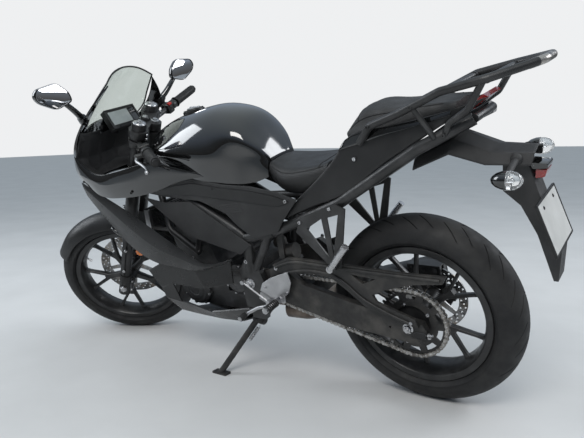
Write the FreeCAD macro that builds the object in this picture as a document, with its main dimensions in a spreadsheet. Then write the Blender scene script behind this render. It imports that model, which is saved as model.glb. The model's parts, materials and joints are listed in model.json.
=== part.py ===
import FreeCAD, Part
import math
import os
from FreeCAD import Placement, Rotation
from FreeCAD import Vector as V

# Sport bike on its side stand, in millimetres.
# The pieces are drawn upright: X forward from mid wheelbase, Y left, Z up from the ground.
# The parked placement then leans the bike on its stand, and the steered pieces turn about the steering axis.

SIZES = {
    # stance
    "wheelbase": 1380.0,
    "lean_angle": 12.6,
    "steer_angle": 32.5,
    "centre_forward": -74.6,
    "centre_left": 222.8,
    # steering
    "caster_angle": 25.0,
    "trail": 95.0,
    "leg_spread": 95.0,
    "leg_length": 765.0,
    "stanchion_radius": 18.5,
    "guard_radius": 27.0,
    "guard_start": 250.0,
    "lower_clamp_at": 520.0,
    "upper_clamp_at": 725.0,
    "clamp_thickness": 30.0,
    "stem_radius": 15.0,
    "head_tube_radius": 29.0,
    "grip_radius": 17.0,
    "grip_length": 118.0,
    "bar_radius": 11.0,
    # front wheel
    "front_radius": 293.0,
    "front_width": 110.0,
    "front_wall_height": 9.0,
    "front_rim_half": 41.0,
    "front_disc_radius": 149.0,
    "front_disc_at": -62.0,
    # rear wheel
    "rear_radius": 314.0,
    "rear_width": 140.0,
    "rear_wall_height": 15.0,
    "rear_rim_half": 57.0,
    "rear_disc_radius": 110.0,
    "rear_disc_at": -78.0,
    # both wheels
    "tyre_wall": 9.0,
    "seat_radius": 216.0,
    "flange_height": 13.0,
    "rim_wall": 6.0,
    "hub_radius": 32.0,
    "carrier_radius": 72.0,
    "axle_radius": 8.0,
    "arm_count": 5,
    "arm_width": 30.0,
    "arm_depth": 26.0,
    "disc_thickness": 5.0,
    "seat_gap": 0.3,
    "running_gap": 0.05,
    # final drive
    "chain_pitch": 15.875,
    "chain_half_width": 8.0,
    "chain_plate_depth": 15.0,
    "chain_line": 102.0,
    "rear_teeth": 43,
    "front_teeth": 14,
    "front_sprocket_x": -38.0,
    "front_sprocket_z": 392.0,
    "sprocket_thickness": 6.0,
    "sprocket_bore": 58.0,
    # frame
    "pivot_x": -118.0,
    "pivot_z": 396.0,
    "main_tube_radius": 19.0,
    "cross_radius": 15.0,
    "spine_radius": 18.4,
    "pivot_radius": 9.0,
    "sub_tube_radius": 15.0,
    "frame_half": 140.0,
    "engine_half": 110.0,
    "swingarm_inner": 113.0,
    "swingarm_wide": 24.0,
    "spool_radius": 4.0,
    # bodywork
    "panel": 4.0,
    "cowl_half": 226.0,
    # side stand
    "stand_x": -88.0,
    "stand_y": 112.0,
    "stand_z": 236.0,
    "stand_foot_x": 25.0,
    "stand_foot_y": 246.0,
    "stand_radius": 11.0,
    "stand_pin_radius": 7.0,
}


def open_document():
    doc = FreeCAD.newDocument("sport_bike")
    sheet = doc.addObject("Spreadsheet::Sheet", "Sizes")
    for row, (alias, value) in enumerate(SIZES.items(), start=1):
        sheet.set(f"A{row}", alias)
        sheet.set(f"B{row}", str(value))
        sheet.setAlias(f"B{row}", alias)
    doc.recompute()
    return doc, sheet


DOC, SHEET = open_document()


def size(alias):
    return float(SHEET.get(alias))


# Frames of the standing bike

AXIS_Y = V(0, 1, 0)
HALF_BASE = size("wheelbase") / 2
REAR_AXLE = V(-HALF_BASE, 0, size("rear_radius"))
FRONT_AXLE = V(HALF_BASE, 0, size("front_radius"))
CASTER = math.radians(size("caster_angle"))
STEER_UP = V(-math.sin(CASTER), 0, math.cos(CASTER))
STEER_AHEAD = V(math.cos(CASTER), 0, math.sin(CASTER))
LEG_OFFSET = size("front_radius") * math.sin(CASTER) - size("trail") * math.cos(CASTER)
STEER_FOOT = FRONT_AXLE - STEER_AHEAD * LEG_OFFSET


def about(point, axis, degrees):
    return Placement(V(0, 0, 0), Rotation(axis, degrees), point)


STEERED = about(STEER_FOOT, STEER_UP, size("steer_angle"))


def tyre_low(turn, axle, axle_line, radius, crown):
    """Height of a tyre's lowest point: a torus with its axle line in space."""
    across = turn.multVec(axle_line)
    return turn.multVec(axle).z - (radius - crown) * math.sqrt(1 - across.z ** 2) - crown


def parked_placement():
    """Leans to the left, dips the nose until both tyres touch, and stands the bike on the ground."""
    lean = Rotation(V(1, 0, 0), -size("lean_angle"))
    steered_line = STEERED.Rotation.multVec(AXIS_Y)
    pitch = 0.0
    for _ in range(5):
        turn = Rotation(AXIS_Y, pitch) * lean
        rear = tyre_low(turn, REAR_AXLE, AXIS_Y, size("rear_radius"), size("rear_width") / 2)
        front = tyre_low(turn, STEERED.multVec(FRONT_AXLE), steered_line,
                         size("front_radius"), size("front_width") / 2)
        pitch += math.degrees((front - rear) / size("wheelbase"))
    return Placement(V(-size("centre_forward"), -size("centre_left"), -rear), turn)


PARKED = parked_placement()
STEERED_PARKED = PARKED * STEERED
NODES = []


# Making nodes

def keep(obj, label, placement):
    obj.Label = label
    obj.Placement = placement
    NODES.append(obj)
    return obj


def computed(label, shape, placement=PARKED):
    obj = DOC.addObject("Part::Feature", label)
    obj.Shape = shape
    return keep(obj, label, placement)


def plane_of(body, role):
    for feature in body.Origin.OriginFeatures:
        if feature.Role == role:
            return feature


def sketch_in(body, name, role, loops):
    sketch = body.newObject("Sketcher::SketchObject", name)
    sketch.AttachmentSupport = [(plane_of(body, role), "")]
    sketch.MapMode = "FlatFace"
    for loop in loops:
        for piece in loop:
            sketch.addGeometry(piece, False)
    return sketch


def loop_of(points):
    ends = points[1:] + points[:1]
    return [Part.LineSegment(V(a[0], a[1], 0), V(b[0], b[1], 0)) for a, b in zip(points, ends)]


def circle(x, y, radius):
    return [Part.Circle(V(x, y, 0), V(0, 0, 1), radius)]


# Plain shapes in space

def placed(shape, placement):
    return shape.transformed(placement.toMatrix(), True)


def rod(start, end, radius, end_radius=None):
    run = end - start
    if end_radius is None or abs(end_radius - radius) < 1e-6:
        return Part.makeCylinder(radius, run.Length, start, run)
    return Part.makeCone(radius, end_radius, run.Length, start, run)


def ring(centre, axis, outer, inner, length):
    start = centre - axis * (length / 2)
    return rod(start, start + axis * length, outer).cut(rod(start, start + axis * length, inner))


def fused(shapes):
    whole = shapes[0].fuse(shapes[1:]) if len(shapes) > 1 else shapes[0]
    return whole.removeSplitter()


def outside(piece, *neighbours):
    """The largest part of a piece that its neighbours leave, so it ends on their faces."""
    rest = piece.cut(list(neighbours))
    return max(rest.Solids, key=lambda solid: solid.Volume)


def tube_chain(points, radius):
    pieces = [rod(a, b, radius) for a, b in zip(points, points[1:])]
    pieces += [Part.makeSphere(radius, p) for p in points[1:-1]]
    return fused(pieces)


def bent_wire(points, bend):
    """Straight runs joined by tangent arcs."""
    edges = []
    start = points[0]
    for before, corner, after in zip(points, points[1:], points[2:]):
        come = (corner - before).normalize()
        go = (after - corner).normalize()
        half_turn = come.getAngle(go) / 2
        back = bend * math.tan(half_turn)
        first = corner - come * back
        last = corner + go * back
        inward = (go - come).normalize()
        middle = corner + inward * (bend / math.cos(half_turn) - bend)
        edges.append(Part.LineSegment(start, first).toShape())
        edges.append(Part.Arc(first, middle, last).toShape())
        start = last
    edges.append(Part.LineSegment(start, points[-1]).toShape())
    return Part.Wire(edges)


def bent_tube(points, radius, bend):
    path = bent_wire(points, bend)
    run = points[1] - points[0]
    section = Part.Wire(Part.Circle(points[0], run, radius).toShape())
    return path.makePipeShell([section], True, False)


def slab(outline, low, high):
    """Side view outline (x, z) as a plate from Y = low to Y = high."""
    corners = [V(x, low, z) for x, z in outline]
    face = Part.Face(Part.makePolygon(corners + corners[:1]))
    return face.extrude(V(0, high - low, 0))


def skin(outer, inner):
    """Solid between two grids of points, faced with straight-edged patches."""
    faces = []

    def patch(a, b, c, d):
        first = Part.LineSegment(a, b).toShape()
        second = Part.LineSegment(d, c).toShape()
        faces.append(Part.makeRuledSurface(first, second))

    for grid in (outer, inner):
        for upper, lower in zip(grid, grid[1:]):
            for a, b, c, d in zip(upper, upper[1:], lower[1:], lower):
                patch(a, b, c, d)

    def rim_of(grid):
        return (grid[0] + [row[-1] for row in grid[1:]] + grid[-1][-2::-1]
                + [row[0] for row in grid[-2:0:-1]])

    outer_rim = rim_of(outer)
    inner_rim = rim_of(inner)
    for a, b, c, d in zip(outer_rim, outer_rim[1:] + outer_rim[:1], inner_rim[1:] + inner_rim[:1], inner_rim):
        patch(a, b, c, d)
    shell = Part.makeShell(faces)
    shell.sewShape()
    solid = Part.makeSolid(shell)
    if solid.Volume < 0:
        solid.reverse()
    return solid


def sheet(rows, inward):
    """Panel through rows of points, thickened by one vector."""
    return skin(rows, [[p + inward for p in row] for row in rows])


def across(row):
    """A row from the centre line to the left, completed to the right."""
    return [V(p.x, -p.y, p.z) for p in reversed(row[1:])] + row


def points(table):
    return [V(*row) for row in table]


def mirrored(shape):
    return shape.mirror(V(0, 0, 0), AXIS_Y)


def pair(shape):
    return Part.makeCompound([shape, mirrored(shape)])


def closed(corners):
    return Part.makePolygon(corners + corners[:1])


def lofted(sections):
    return Part.makeLoft([closed(section) for section in sections], True, True)


# Wheels

def revolved_body(label, profile, placement):
    body = DOC.addObject("PartDesign::Body", label)
    sketch = sketch_in(body, label + "_profile", "XY_Plane", [loop_of(profile)])
    turn = body.newObject("PartDesign::Revolution", label + "_turn")
    turn.Profile = sketch
    turn.ReferenceAxis = (sketch, ["V_Axis"])
    turn.Angle = 360
    return keep(body, label, placement)


def padded(body, name, sketch, length):
    pad = body.newObject("PartDesign::Pad", name)
    pad.Profile = sketch
    pad.setExpression("Length", length)
    pad.SideType = "Symmetric"
    return pad


def polar(body, name, original, count):
    pattern = body.newObject("PartDesign::PolarPattern", name)
    pattern.Originals = [original]
    pattern.Axis = (plane_of(body, "Y_Axis"), [""])
    pattern.Angle = 360
    pattern.setExpression("Occurrences", count)
    body.Tip = pattern
    return pattern


FLANGE_RADIUS = size("seat_radius") + size("flange_height")


def crown_points(radius, crown, half):
    """Outer profile (radius, side) of a tyre: flats round an arch as high as the crown."""
    angles = [math.radians(a) for a in (-80, -56, -34, -12, 12, 34, 56, 80)]
    return [(radius - crown + crown * math.cos(a), half * math.sin(a)) for a in angles]


def tyre(label, radius, half, wall_height, rim_half, placement):
    """Arched crown over straight side walls, which stand in the rim's flanges."""
    wall = size("tyre_wall")
    bead = size("seat_radius")
    lip = FLANGE_RADIUS
    crown = radius - lip - wall_height
    inside = radius - wall
    outer = crown_points(radius, crown, half)
    bead_side = rim_half - size("rim_wall") - size("seat_gap")
    half_outer = [(bead, bead_side), (lip + 1, bead_side)]
    half_inner = [(bead, bead_side - wall), (lip, bead_side - wall), (radius - crown * 0.8, half - wall),
                  (inside, half * 0.35)]
    profile = ([(r, -y) for r, y in half_outer] + outer + half_outer[::-1]
               + half_inner + [(r, -y) for r, y in half_inner[::-1]])
    return revolved_body(label, profile, placement)


def arm_outline(reach):
    """One wheel arm along +x: a stem from the hub that splits in two legs before the rim."""
    half = size("arm_width") / 2
    split = reach * 0.56
    spread = math.radians(15)
    leg = half * 0.62
    tip = V(reach * math.cos(spread), reach * math.sin(spread), 0)
    run = V(tip.x - split, tip.y, 0).normalize()
    side = V(-run.y, run.x, 0) * leg
    root = size("hub_radius") * 0.6
    upper = [(root, half * 1.15), (split * 0.8, half * 0.85), (split + side.x * 0.2, half + side.y * 0.3),
             (tip.x + side.x, tip.y + side.y), (tip.x - side.x, tip.y - side.y), (split + half * 1.6, 0.0)]
    lower = [(x, -y) for x, y in reversed(upper[:-1])]
    return upper + lower


def rim(label, rim_half, depth_alias, hub_ends, placement):
    """Barrel with flanges, hub and split arms, as one casting."""
    body = DOC.addObject("PartDesign::Body", label)
    bead = size("seat_radius") - size("seat_gap")
    lip = FLANGE_RADIUS
    wall = size("rim_wall")
    inner = bead - wall
    barrel = [(inner, -rim_half), (lip, -rim_half), (lip, wall - rim_half), (bead, wall - rim_half),
              (bead, rim_half - wall), (lip, rim_half - wall), (lip, rim_half), (inner, rim_half)]
    hub = size("hub_radius")
    bore = size("axle_radius") + size("running_gap")
    right, left, flange = hub_ends
    core = [(bore, right), (hub, right), (hub, left - 8), (flange, left - 8), (flange, left), (bore, left)]
    arm = sketch_in(body, label + "_arm", "XZ_Plane", [loop_of(arm_outline(bead - wall * 0.6))])
    pad = padded(body, label + "_arm_pad", arm, "Sizes." + depth_alias)
    polar(body, label + "_arms", pad, "Sizes.arm_count")
    for name, profile in (("hub", core), ("barrel", barrel)):
        sketch = sketch_in(body, f"{label}_{name}_profile", "XY_Plane", [loop_of(profile)])
        turn = body.newObject("PartDesign::Revolution", f"{label}_{name}")
        turn.Profile = sketch
        turn.ReferenceAxis = (sketch, ["V_Axis"])
        turn.Angle = 360
        body.Tip = turn
    return keep(body, label, placement)


def disc(label, radius, placement):
    """Brake disc with a carrier of five arms down to the hub."""
    body = DOC.addObject("PartDesign::Body", label)
    hub = size("hub_radius") * 0.8
    plate = sketch_in(body, label + "_plate", "XZ_Plane", [circle(0, 0, radius), circle(0, 0, radius * 0.74)])
    padded(body, label + "_band", plate, "Sizes.disc_thickness")
    arm_loop = loop_of([(hub * 1.02, 11), (radius * 0.78, 7), (radius * 0.78, -7), (hub * 1.02, -11)])
    arm = sketch_in(body, label + "_arm", "XZ_Plane", [arm_loop])
    pad = padded(body, label + "_arm_pad", arm, "Sizes.disc_thickness")
    polar(body, label + "_arms", pad, "Sizes.arm_count")
    collar = sketch_in(body, label + "_collar", "XZ_Plane", [circle(0, 0, hub * 1.35), circle(0, 0, hub)])
    ring_pad = padded(body, label + "_collar_pad", collar, "Sizes.disc_thickness")
    body.Tip = ring_pad
    return keep(body, label, placement)


REAR_WHEEL = PARKED * Placement(REAR_AXLE, Rotation())
FRONT_WHEEL = STEERED_PARKED * Placement(FRONT_AXLE, Rotation())
tyre("front_tyre", size("front_radius"), size("front_width") / 2, size("front_wall_height"),
     size("front_rim_half"), FRONT_WHEEL)
tyre("rear_tyre", size("rear_radius"), size("rear_width") / 2, size("rear_wall_height"),
     size("rear_rim_half"), REAR_WHEEL)
HALF_DISC = size("disc_thickness") / 2
SPROCKET_INSIDE = size("chain_line") - size("sprocket_thickness") / 2
rim("front_rim", size("front_rim_half"), "arm_depth",
    (size("front_disc_at") + HALF_DISC, -size("front_disc_at"), size("hub_radius") * 0.8), FRONT_WHEEL)
rim("rear_rim", size("rear_rim_half"), "arm_depth",
    (size("rear_disc_at") + HALF_DISC, SPROCKET_INSIDE, size("carrier_radius")), REAR_WHEEL)
disc("front_disc", size("front_disc_radius"), FRONT_WHEEL * Placement(V(0, size("front_disc_at"), 0), Rotation()))
disc("rear_disc", size("rear_disc_radius"), REAR_WHEEL * Placement(V(0, size("rear_disc_at"), 0), Rotation()))


# Final drive

PIVOT = V(size("pivot_x"), 0, size("pivot_z"))
FRONT_SPROCKET = V(size("front_sprocket_x"), 0, size("front_sprocket_z"))


def pitch_radius(teeth):
    return size("chain_pitch") / 2 / math.sin(math.pi / teeth)


def toothed(centre, teeth, bore):
    """Sprocket outline: four points a tooth, root to tip."""
    radius = pitch_radius(teeth)
    half = size("sprocket_thickness") / 2
    root = radius - size("chain_pitch") * 0.33
    tip = radius + size("chain_pitch") * 0.25
    step = 2 * math.pi / teeth
    outline = []
    for tooth in range(round(teeth)):
        for reach, share in ((root, -0.32), (tip, -0.1), (tip, 0.1), (root, 0.32)):
            angle = (tooth + share) * step
            outline.append((centre.x + reach * math.cos(angle), centre.z + reach * math.sin(angle)))
    line = size("chain_line")
    plate = slab(outline, line - half, line + half)
    hole = rod(V(centre.x, line - half - 1, centre.z), V(centre.x, line + half + 1, centre.z), bore)
    return plate.cut(hole)


def chain_loop():
    """Pin places round both sprockets: lower run, rear arc, upper run and front arc."""
    big = pitch_radius(size("rear_teeth"))
    small = pitch_radius(size("front_teeth"))
    line = REAR_AXLE - FRONT_SPROCKET
    span = line.Length
    along = math.atan2(line.z, line.x)
    lean = math.acos((small - big) / span)
    run = math.sqrt(span ** 2 - (big - small) ** 2)
    rear_arc = 2 * lean
    front_arc = 2 * math.pi - rear_arc
    total = 2 * run + rear_arc * big + front_arc * small
    count = 2 * round(total / size("chain_pitch") / 2)
    step = total / count
    pins = []
    for index in range(count):
        way = index * step
        if way < run:
            angle = along + lean
            foot = V(math.cos(angle), 0, math.sin(angle))
            share = way / run
            spot = (FRONT_SPROCKET + foot * small) * (1 - share) + (REAR_AXLE + foot * big) * share
            pins.append((spot, foot, True))
            continue
        way -= run
        if way < rear_arc * big:
            angle = along + lean - way / big
            foot = V(math.cos(angle), 0, math.sin(angle))
            pins.append((REAR_AXLE + foot * big, foot, False))
            continue
        way -= rear_arc * big
        if way < run:
            angle = along - lean
            foot = V(math.cos(angle), 0, math.sin(angle))
            share = way / run
            spot = (REAR_AXLE + foot * big) * (1 - share) + (FRONT_SPROCKET + foot * small) * share
            pins.append((spot, foot, True))
            continue
        way -= run
        angle = along - lean - way / small
        foot = V(math.cos(angle), 0, math.sin(angle))
        pins.append((FRONT_SPROCKET + foot * small, foot, False))
    return pins


def chain():
    """Two rows of link plates, joined by the rollers of the straight runs."""
    pins = chain_loop()
    deep = size("chain_plate_depth") / 2
    waist = deep * 0.68
    outer = []
    inner = []
    for (spot, out, _), (after, next_out, _) in zip(pins, pins[1:] + pins[:1]):
        middle = (spot + after) / 2
        between = (out + next_out).normalize()
        outer += [spot + out * deep, middle + between * waist]
        inner += [spot - out * deep, middle - between * waist]
    line = size("chain_line")
    half = size("chain_half_width")
    gap = size("sprocket_thickness") / 2 + size("seat_gap")
    rows = []
    for low, high in ((line - half, line - gap), (line + gap, line + half)):
        band = slab([(p.x, p.z) for p in outer], low, high).cut(slab([(p.x, p.z) for p in inner], low, high))
        rows.append(band)
    clear_of_teeth = 5
    open_run = [spot for index, (spot, _, on_run) in enumerate(pins)
                if on_run and pins[index - clear_of_teeth][2] and pins[(index + clear_of_teeth) % len(pins)][2]]
    rollers = [rod(V(p.x, line - gap - 1, p.z), V(p.x, line + gap + 1, p.z), deep * 0.6) for p in open_run[::3]]
    return rows[0].fuse(rows[1:] + rollers)


computed("chain", chain())
computed("sprocket", toothed(REAR_AXLE, size("rear_teeth"), size("sprocket_bore")))
computed("front_sprocket", toothed(FRONT_SPROCKET, size("front_teeth"), size("axle_radius")))


# Frame and engine

FRAME_HALF = size("frame_half")

STAND_PIVOT = V(size("stand_x"), size("stand_y"), size("stand_z"))
STAND_GROUND = V(size("stand_foot_x") - size("centre_forward"), size("stand_foot_y") - size("centre_left"), 0)
STAND_DOWN = (PARKED.inverse().multVec(STAND_GROUND) - STAND_PIVOT).normalize()
STAND_STOWED = V(-1, 0.17, 0.05).normalize()
STAND_AXIS = STAND_DOWN.cross(STAND_STOWED).normalize()
STAND_SWING = math.degrees(STAND_DOWN.getAngle(STAND_STOWED))


LOW_CROSS = V(-138, 0, 278)


def side_stand():
    """Leg from its eye to a flat foot on the ground."""
    back = PARKED.inverse()
    foot_top = back.multVec(STAND_GROUND + V(0, 0, 7))
    leg = rod(STAND_PIVOT, foot_top, size("stand_radius"))
    foot = placed(Part.makeBox(62, 30, 8, STAND_GROUND + V(-31, -15, 0)), back)
    eye = rod(STAND_PIVOT - STAND_AXIS * 12, STAND_PIVOT + STAND_AXIS * 12, 17)
    bore = rod(STAND_PIVOT - STAND_AXIS * 30, STAND_PIVOT + STAND_AXIS * 30,
               size("stand_pin_radius") + size("running_gap"))
    return leg.fuse([foot, eye]).cut(bore)


def stand_bracket():
    """Lug on the frame with the pin that the stand turns on."""
    inner = STAND_PIVOT - STAND_AXIS * 32
    pin = rod(inner, STAND_PIVOT + STAND_AXIS * 18, size("stand_pin_radius"))
    lug = rod(inner, STAND_PIVOT - STAND_AXIS * 12.4, 18)
    arm = rod(STAND_PIVOT - STAND_AXIS * 26, LOW_CROSS + AXIS_Y * 66, 9)
    return lug.fuse([pin, arm])


computed("side_stand", side_stand())


PIVOT_PLATE = [(-80, 440), (-84, 300), (-110, 262), (-160, 262), (-190, 380), (-165, 450), (-120, 500)]
SPINE_START = V(-130, FRAME_HALF, 562)
SPINE_END = V(-250, FRAME_HALF, 594)
CROSS_BAR = V(-138, 0, 522)


def pivot_plate():
    return slab(PIVOT_PLATE, FRAME_HALF - 12, FRAME_HALF + 12)


def engine_lugs():
    """Stubs from the frame to the flanks of the cylinder and of the crankcase."""
    flank = size("engine_half")
    return [rod(V(150, 126, 498), V(150, flank - 16, 498), 12), rod(V(-82, FRAME_HALF, 308), V(-82, flank, 308), 10)]


def frame():
    """Head tube, two main tubes a side, pivot plates with the swingarm's pin, and the lower gussets."""
    radius = size("main_tube_radius")
    head_low = STEER_FOOT + STEER_UP * (size("lower_clamp_at") + size("clamp_thickness") / 2 + 6)
    head_high = STEER_FOOT + STEER_UP * (size("upper_clamp_at") - size("clamp_thickness") / 2 - 6)
    head = rod(head_low, head_high, size("head_tube_radius"))
    bore = rod(head_low - STEER_UP * 5, head_high + STEER_UP * 5, size("stem_radius") + size("running_gap"))
    middle = (head_low + head_high) / 2
    main = bent_tube([middle + V(0, 8, -10), V(240, 120, 752), V(60, FRAME_HALF, 668), V(-134, FRAME_HALF, 562),
                      V(PIVOT.x - 4, FRAME_HALF, 440)], radius, 60)
    upper = bent_tube([middle + V(4, 8, -50), V(250, 124, 560), V(120, 126, 480)], radius * 0.7, 60)
    gusset = rod(V(-226, FRAME_HALF, 580), V(-150, FRAME_HALF, 450), size("sub_tube_radius"))
    spine = rod(SPINE_START, SPINE_END, size("spine_radius"))
    stay = rod(V(128, 126, 484), V(60, 134, 664), radius * 0.6)
    radiator_stay = rod(V(250, 124, 560), V(344.4, 124, 560), 8)
    side = main.fuse([upper, gusset, spine, pivot_plate(), stay, radiator_stay] + engine_lugs())
    reach = AXIS_Y * FRAME_HALF
    cross = rod(CROSS_BAR - reach, CROSS_BAR + reach, size("cross_radius"))
    low_cross = rod(LOW_CROSS - reach, LOW_CROSS + reach, radius * 0.6)
    pin = rod(PIVOT - reach, PIVOT + reach, size("pivot_radius") - size("running_gap"))
    whole = head.fuse([side, mirrored(side), cross, low_cross, pin, stand_bracket()])
    return whole.cut(bore)


def subframe():
    """Rear tubes under the seats, joined by cross bars."""
    radius = size("sub_tube_radius") + 2
    bend = SPINE_END + (SPINE_END - SPINE_START).normalize() * 20
    side = tube_chain([SPINE_END, bend, V(-508, 132, 700), V(-757, 118, 855), V(-905, 80, 925)], radius)
    upper = tube_chain([V(-508, 122, 700), V(-350, 108, 716), V(-210, 114, 710)], radius * 0.7)
    bars = [rod(V(x, -half, z), V(x, half, z), radius * 0.7)
            for x, half, z in ((-508, 132, 700), (-757, 118, 855), (-905, 80, 925), (-350, 108, 716))]
    return fused([side, upper, mirrored(side), mirrored(upper)] + bars)


def engine():
    """Crankcase, cylinder and head as one mass, with the pocket that the front sprocket turns in."""
    half = size("engine_half")
    case = slab([(-92, 270), (-70, 262), (235, 262), (270, 310), (250, 400), (60, 420), (-40, 456), (-92, 430)],
                -half, half)
    cylinders = slab([(60, 400), (245, 380), (288, 552), (140, 610)], 16 - half, half - 16)
    wall = size("chain_line") - 14
    pocket = Part.makeBox(140, 60, 130, V(-112, wall, 330))
    shaft = rod(FRONT_SPROCKET + AXIS_Y * (wall - 5), FRONT_SPROCKET + AXIS_Y * (wall + 17), size("axle_radius"))
    return case.fuse(cylinders).cut(pocket).fuse(shaft)


def engine_covers():
    """Round side covers of the crankcase."""
    covers = []
    table = (
        # side, x, z, radius, depth
        (1, 178, 330, 66, 26),
        (1, -30, 384, 56, 12),
        (-1, 160, 340, 76, 34),
        (-1, 20, 330, 50, 20),
    )
    for side, x, z, radius, depth in table:
        base = V(x, side * size("engine_half"), z)
        covers.append(rod(base, base + AXIS_Y * side * depth * 0.6, radius))
        covers.append(rod(base + AXIS_Y * side * depth * 0.6, base + AXIS_Y * side * depth, radius, radius * 0.82))
    left = covers[0].fuse(covers[1])
    left_small = covers[2].fuse(covers[3])
    right = covers[4].fuse(covers[5])
    right_small = covers[6].fuse(covers[7])
    return Part.makeCompound([left, left_small, right.fuse(right_small)])


computed("frame", frame())
computed("subframe", subframe())
computed("engine_block", engine())
computed("engine_covers", engine_covers())
computed("radiator", slab([(340, 640), (360, 640), (374, 430), (354, 430)], -140, 140))


# Swingarm and what it carries

ARM_OUTER = size("swingarm_inner") + size("swingarm_wide")
SPOOL = V(-630, 0, 308)


def swingarm():
    """Box arms from the pivot tube to the axle, joined by a bridge, with a threaded hole on each side."""
    inner = size("swingarm_inner")
    outer = ARM_OUTER
    rear = [(-200, 452), (-247, 470), (-332, 410), (-500, 372), (-735, 334), (-748, 308), (-722, 262),
            (-467, 284), (-309, 320), (-200, 350)]
    front = [(-86, 404), (-104, 424), (-200, 446), (-200, 352), (-110, 368), (-90, 382)]
    left = slab(rear, inner, outer).fuse(slab(front, inner, FRAME_HALF - 14))
    bridge = Part.makeBox(48, 2 * inner + 4, 66, V(-342, -inner - 2, 336))
    tube = rod(PIVOT + V(0, 14 - FRAME_HALF, 0), PIVOT + V(0, FRAME_HALF - 14, 0), 18)
    whole = left.fuse([mirrored(left), bridge, tube]).removeSplitter()
    pivot_way = rod(PIVOT + V(0, -200, 0), PIVOT + V(0, 200, 0), size("pivot_radius"))
    axle_way = rod(REAR_AXLE + V(0, -200, 0), REAR_AXLE + V(0, 200, 0), size("axle_radius"))
    spool_ways = [rod(SPOOL + AXIS_Y * side * (outer - 16), SPOOL + AXIS_Y * side * (outer + 5), size("spool_radius"))
                  for side in (-1, 1)]
    return whole.cut([pivot_way, axle_way] + spool_ways)


computed("swingarm", swingarm())
computed("rear_axle", rod(REAR_AXLE + V(0, -150, 0), REAR_AXLE + V(0, 150, 0), size("axle_radius")))


# Fork and bars, drawn straight ahead

def leg_point(along, side):
    return FRONT_AXLE + STEER_UP * along + AXIS_Y * side


def fork_legs():
    """Upside down fork: thick outer tubes above, stanchions and feet below, and the axle."""
    spread = size("leg_spread")
    legs = []
    for side in (-spread, spread):
        thin = rod(leg_point(-10, side), leg_point(size("guard_start") + 5, side), size("stanchion_radius"))
        thick = rod(leg_point(size("guard_start"), side), leg_point(size("leg_length"), side), size("guard_radius"))
        foot = rod(leg_point(-35, side), leg_point(60, side), size("stanchion_radius") + 6)
        legs += [thin, thick, foot]
    axle = rod(leg_point(0, -spread - 28), leg_point(0, spread + 28), size("axle_radius"))
    x, z = FRONT_AXLE.x, FRONT_AXLE.z
    caliper_lug = slab([(x - 8, z + 40), (x - 20, z + 2), (x - 125, z + 50), (x - 132, z + 110), (x - 110, z + 128),
                        (x - 30, z + 66)], -spread - 8, size("front_disc_at") - 26)
    return legs[0].fuse(legs[1:] + [axle, caliper_lug])


def clamps():
    """Two triple clamps and the steering stem."""
    spread = size("leg_spread")
    thick = size("clamp_thickness")
    parts = []
    for along in (size("lower_clamp_at"), size("upper_clamp_at")):
        centre = STEER_FOOT + STEER_UP * along
        bridge = Part.makeBox(40, 2 * spread, thick, V(8, -spread, -thick / 2))
        parts.append(placed(bridge, Placement(centre, Rotation(AXIS_Y, -size("caster_angle")))))
        parts.append(rod(centre - STEER_UP * (thick / 2), centre + STEER_UP * (thick / 2), 26))
        for side in (-spread, spread):
            leg = leg_point(along, side)
            parts.append(rod(leg - STEER_UP * (thick / 2), leg + STEER_UP * (thick / 2), size("guard_radius") + 9))
    stem = rod(STEER_FOOT + STEER_UP * (size("lower_clamp_at") - 5), STEER_FOOT + STEER_UP * size("upper_clamp_at"),
               size("stem_radius"))
    whole = parts[0].fuse(parts[1:] + [stem]).removeSplitter()
    for side in (-spread, spread):
        hole = rod(leg_point(300, side), leg_point(900, side), size("guard_radius"))
        whole = whole.cut(hole)
    return whole


GRIP_END = V(264, 350, 932)
BAR_ROOT = leg_point(size("upper_clamp_at") - 38, size("leg_spread"))


def bars():
    """Clip-on bars with their clamp rings."""
    run = (GRIP_END - BAR_ROOT).normalize()
    tube = rod(BAR_ROOT + run * 20, GRIP_END, size("bar_radius"))
    ring_body = rod(BAR_ROOT - STEER_UP * 14, BAR_ROOT + STEER_UP * 14, size("guard_radius") + 8)
    side = ring_body.fuse(tube).cut(rod(leg_point(300, size("leg_spread")), leg_point(900, size("leg_spread")),
                                        size("guard_radius")))
    return pair(side)


def grips():
    run = (GRIP_END - BAR_ROOT).normalize()
    start = GRIP_END - run * size("grip_length")
    sleeve = rod(start, GRIP_END + run * 4, size("grip_radius"))
    return pair(sleeve.cut(rod(start - run, GRIP_END, size("bar_radius"))))


computed("fork_legs", fork_legs(), STEERED_PARKED)
computed("triple_clamps", clamps(), STEERED_PARKED)
computed("handlebars", bars(), STEERED_PARKED)
computed("grips", grips(), STEERED_PARKED)


def front_mudguard():
    """Arched sheet over the front tyre."""
    inside = size("front_radius") + 18
    angles = [math.radians(a) for a in (25, 48, 71, 94, 117, 140)]

    def skin_rows(radius):
        rows = []
        for angle in angles:
            out = V(math.cos(angle), 0, math.sin(angle))
            row = [FRONT_AXLE + out * (radius - drop) + AXIS_Y * side
                   for side, drop in ((0, 0), (36, 12), (67.7, 50))]
            rows.append(across(row))
        return rows

    return skin(skin_rows(inside + 3), skin_rows(inside))


computed("front_mudguard", front_mudguard(), STEERED_PARKED)


# Bodywork

PANEL = size("panel")
RAIL_SIDE = FRAME_HALF + size("main_tube_radius") + size("seat_gap")
COWL = size("cowl_half")
INWARD = V(0, -PANEL, 0)


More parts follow.
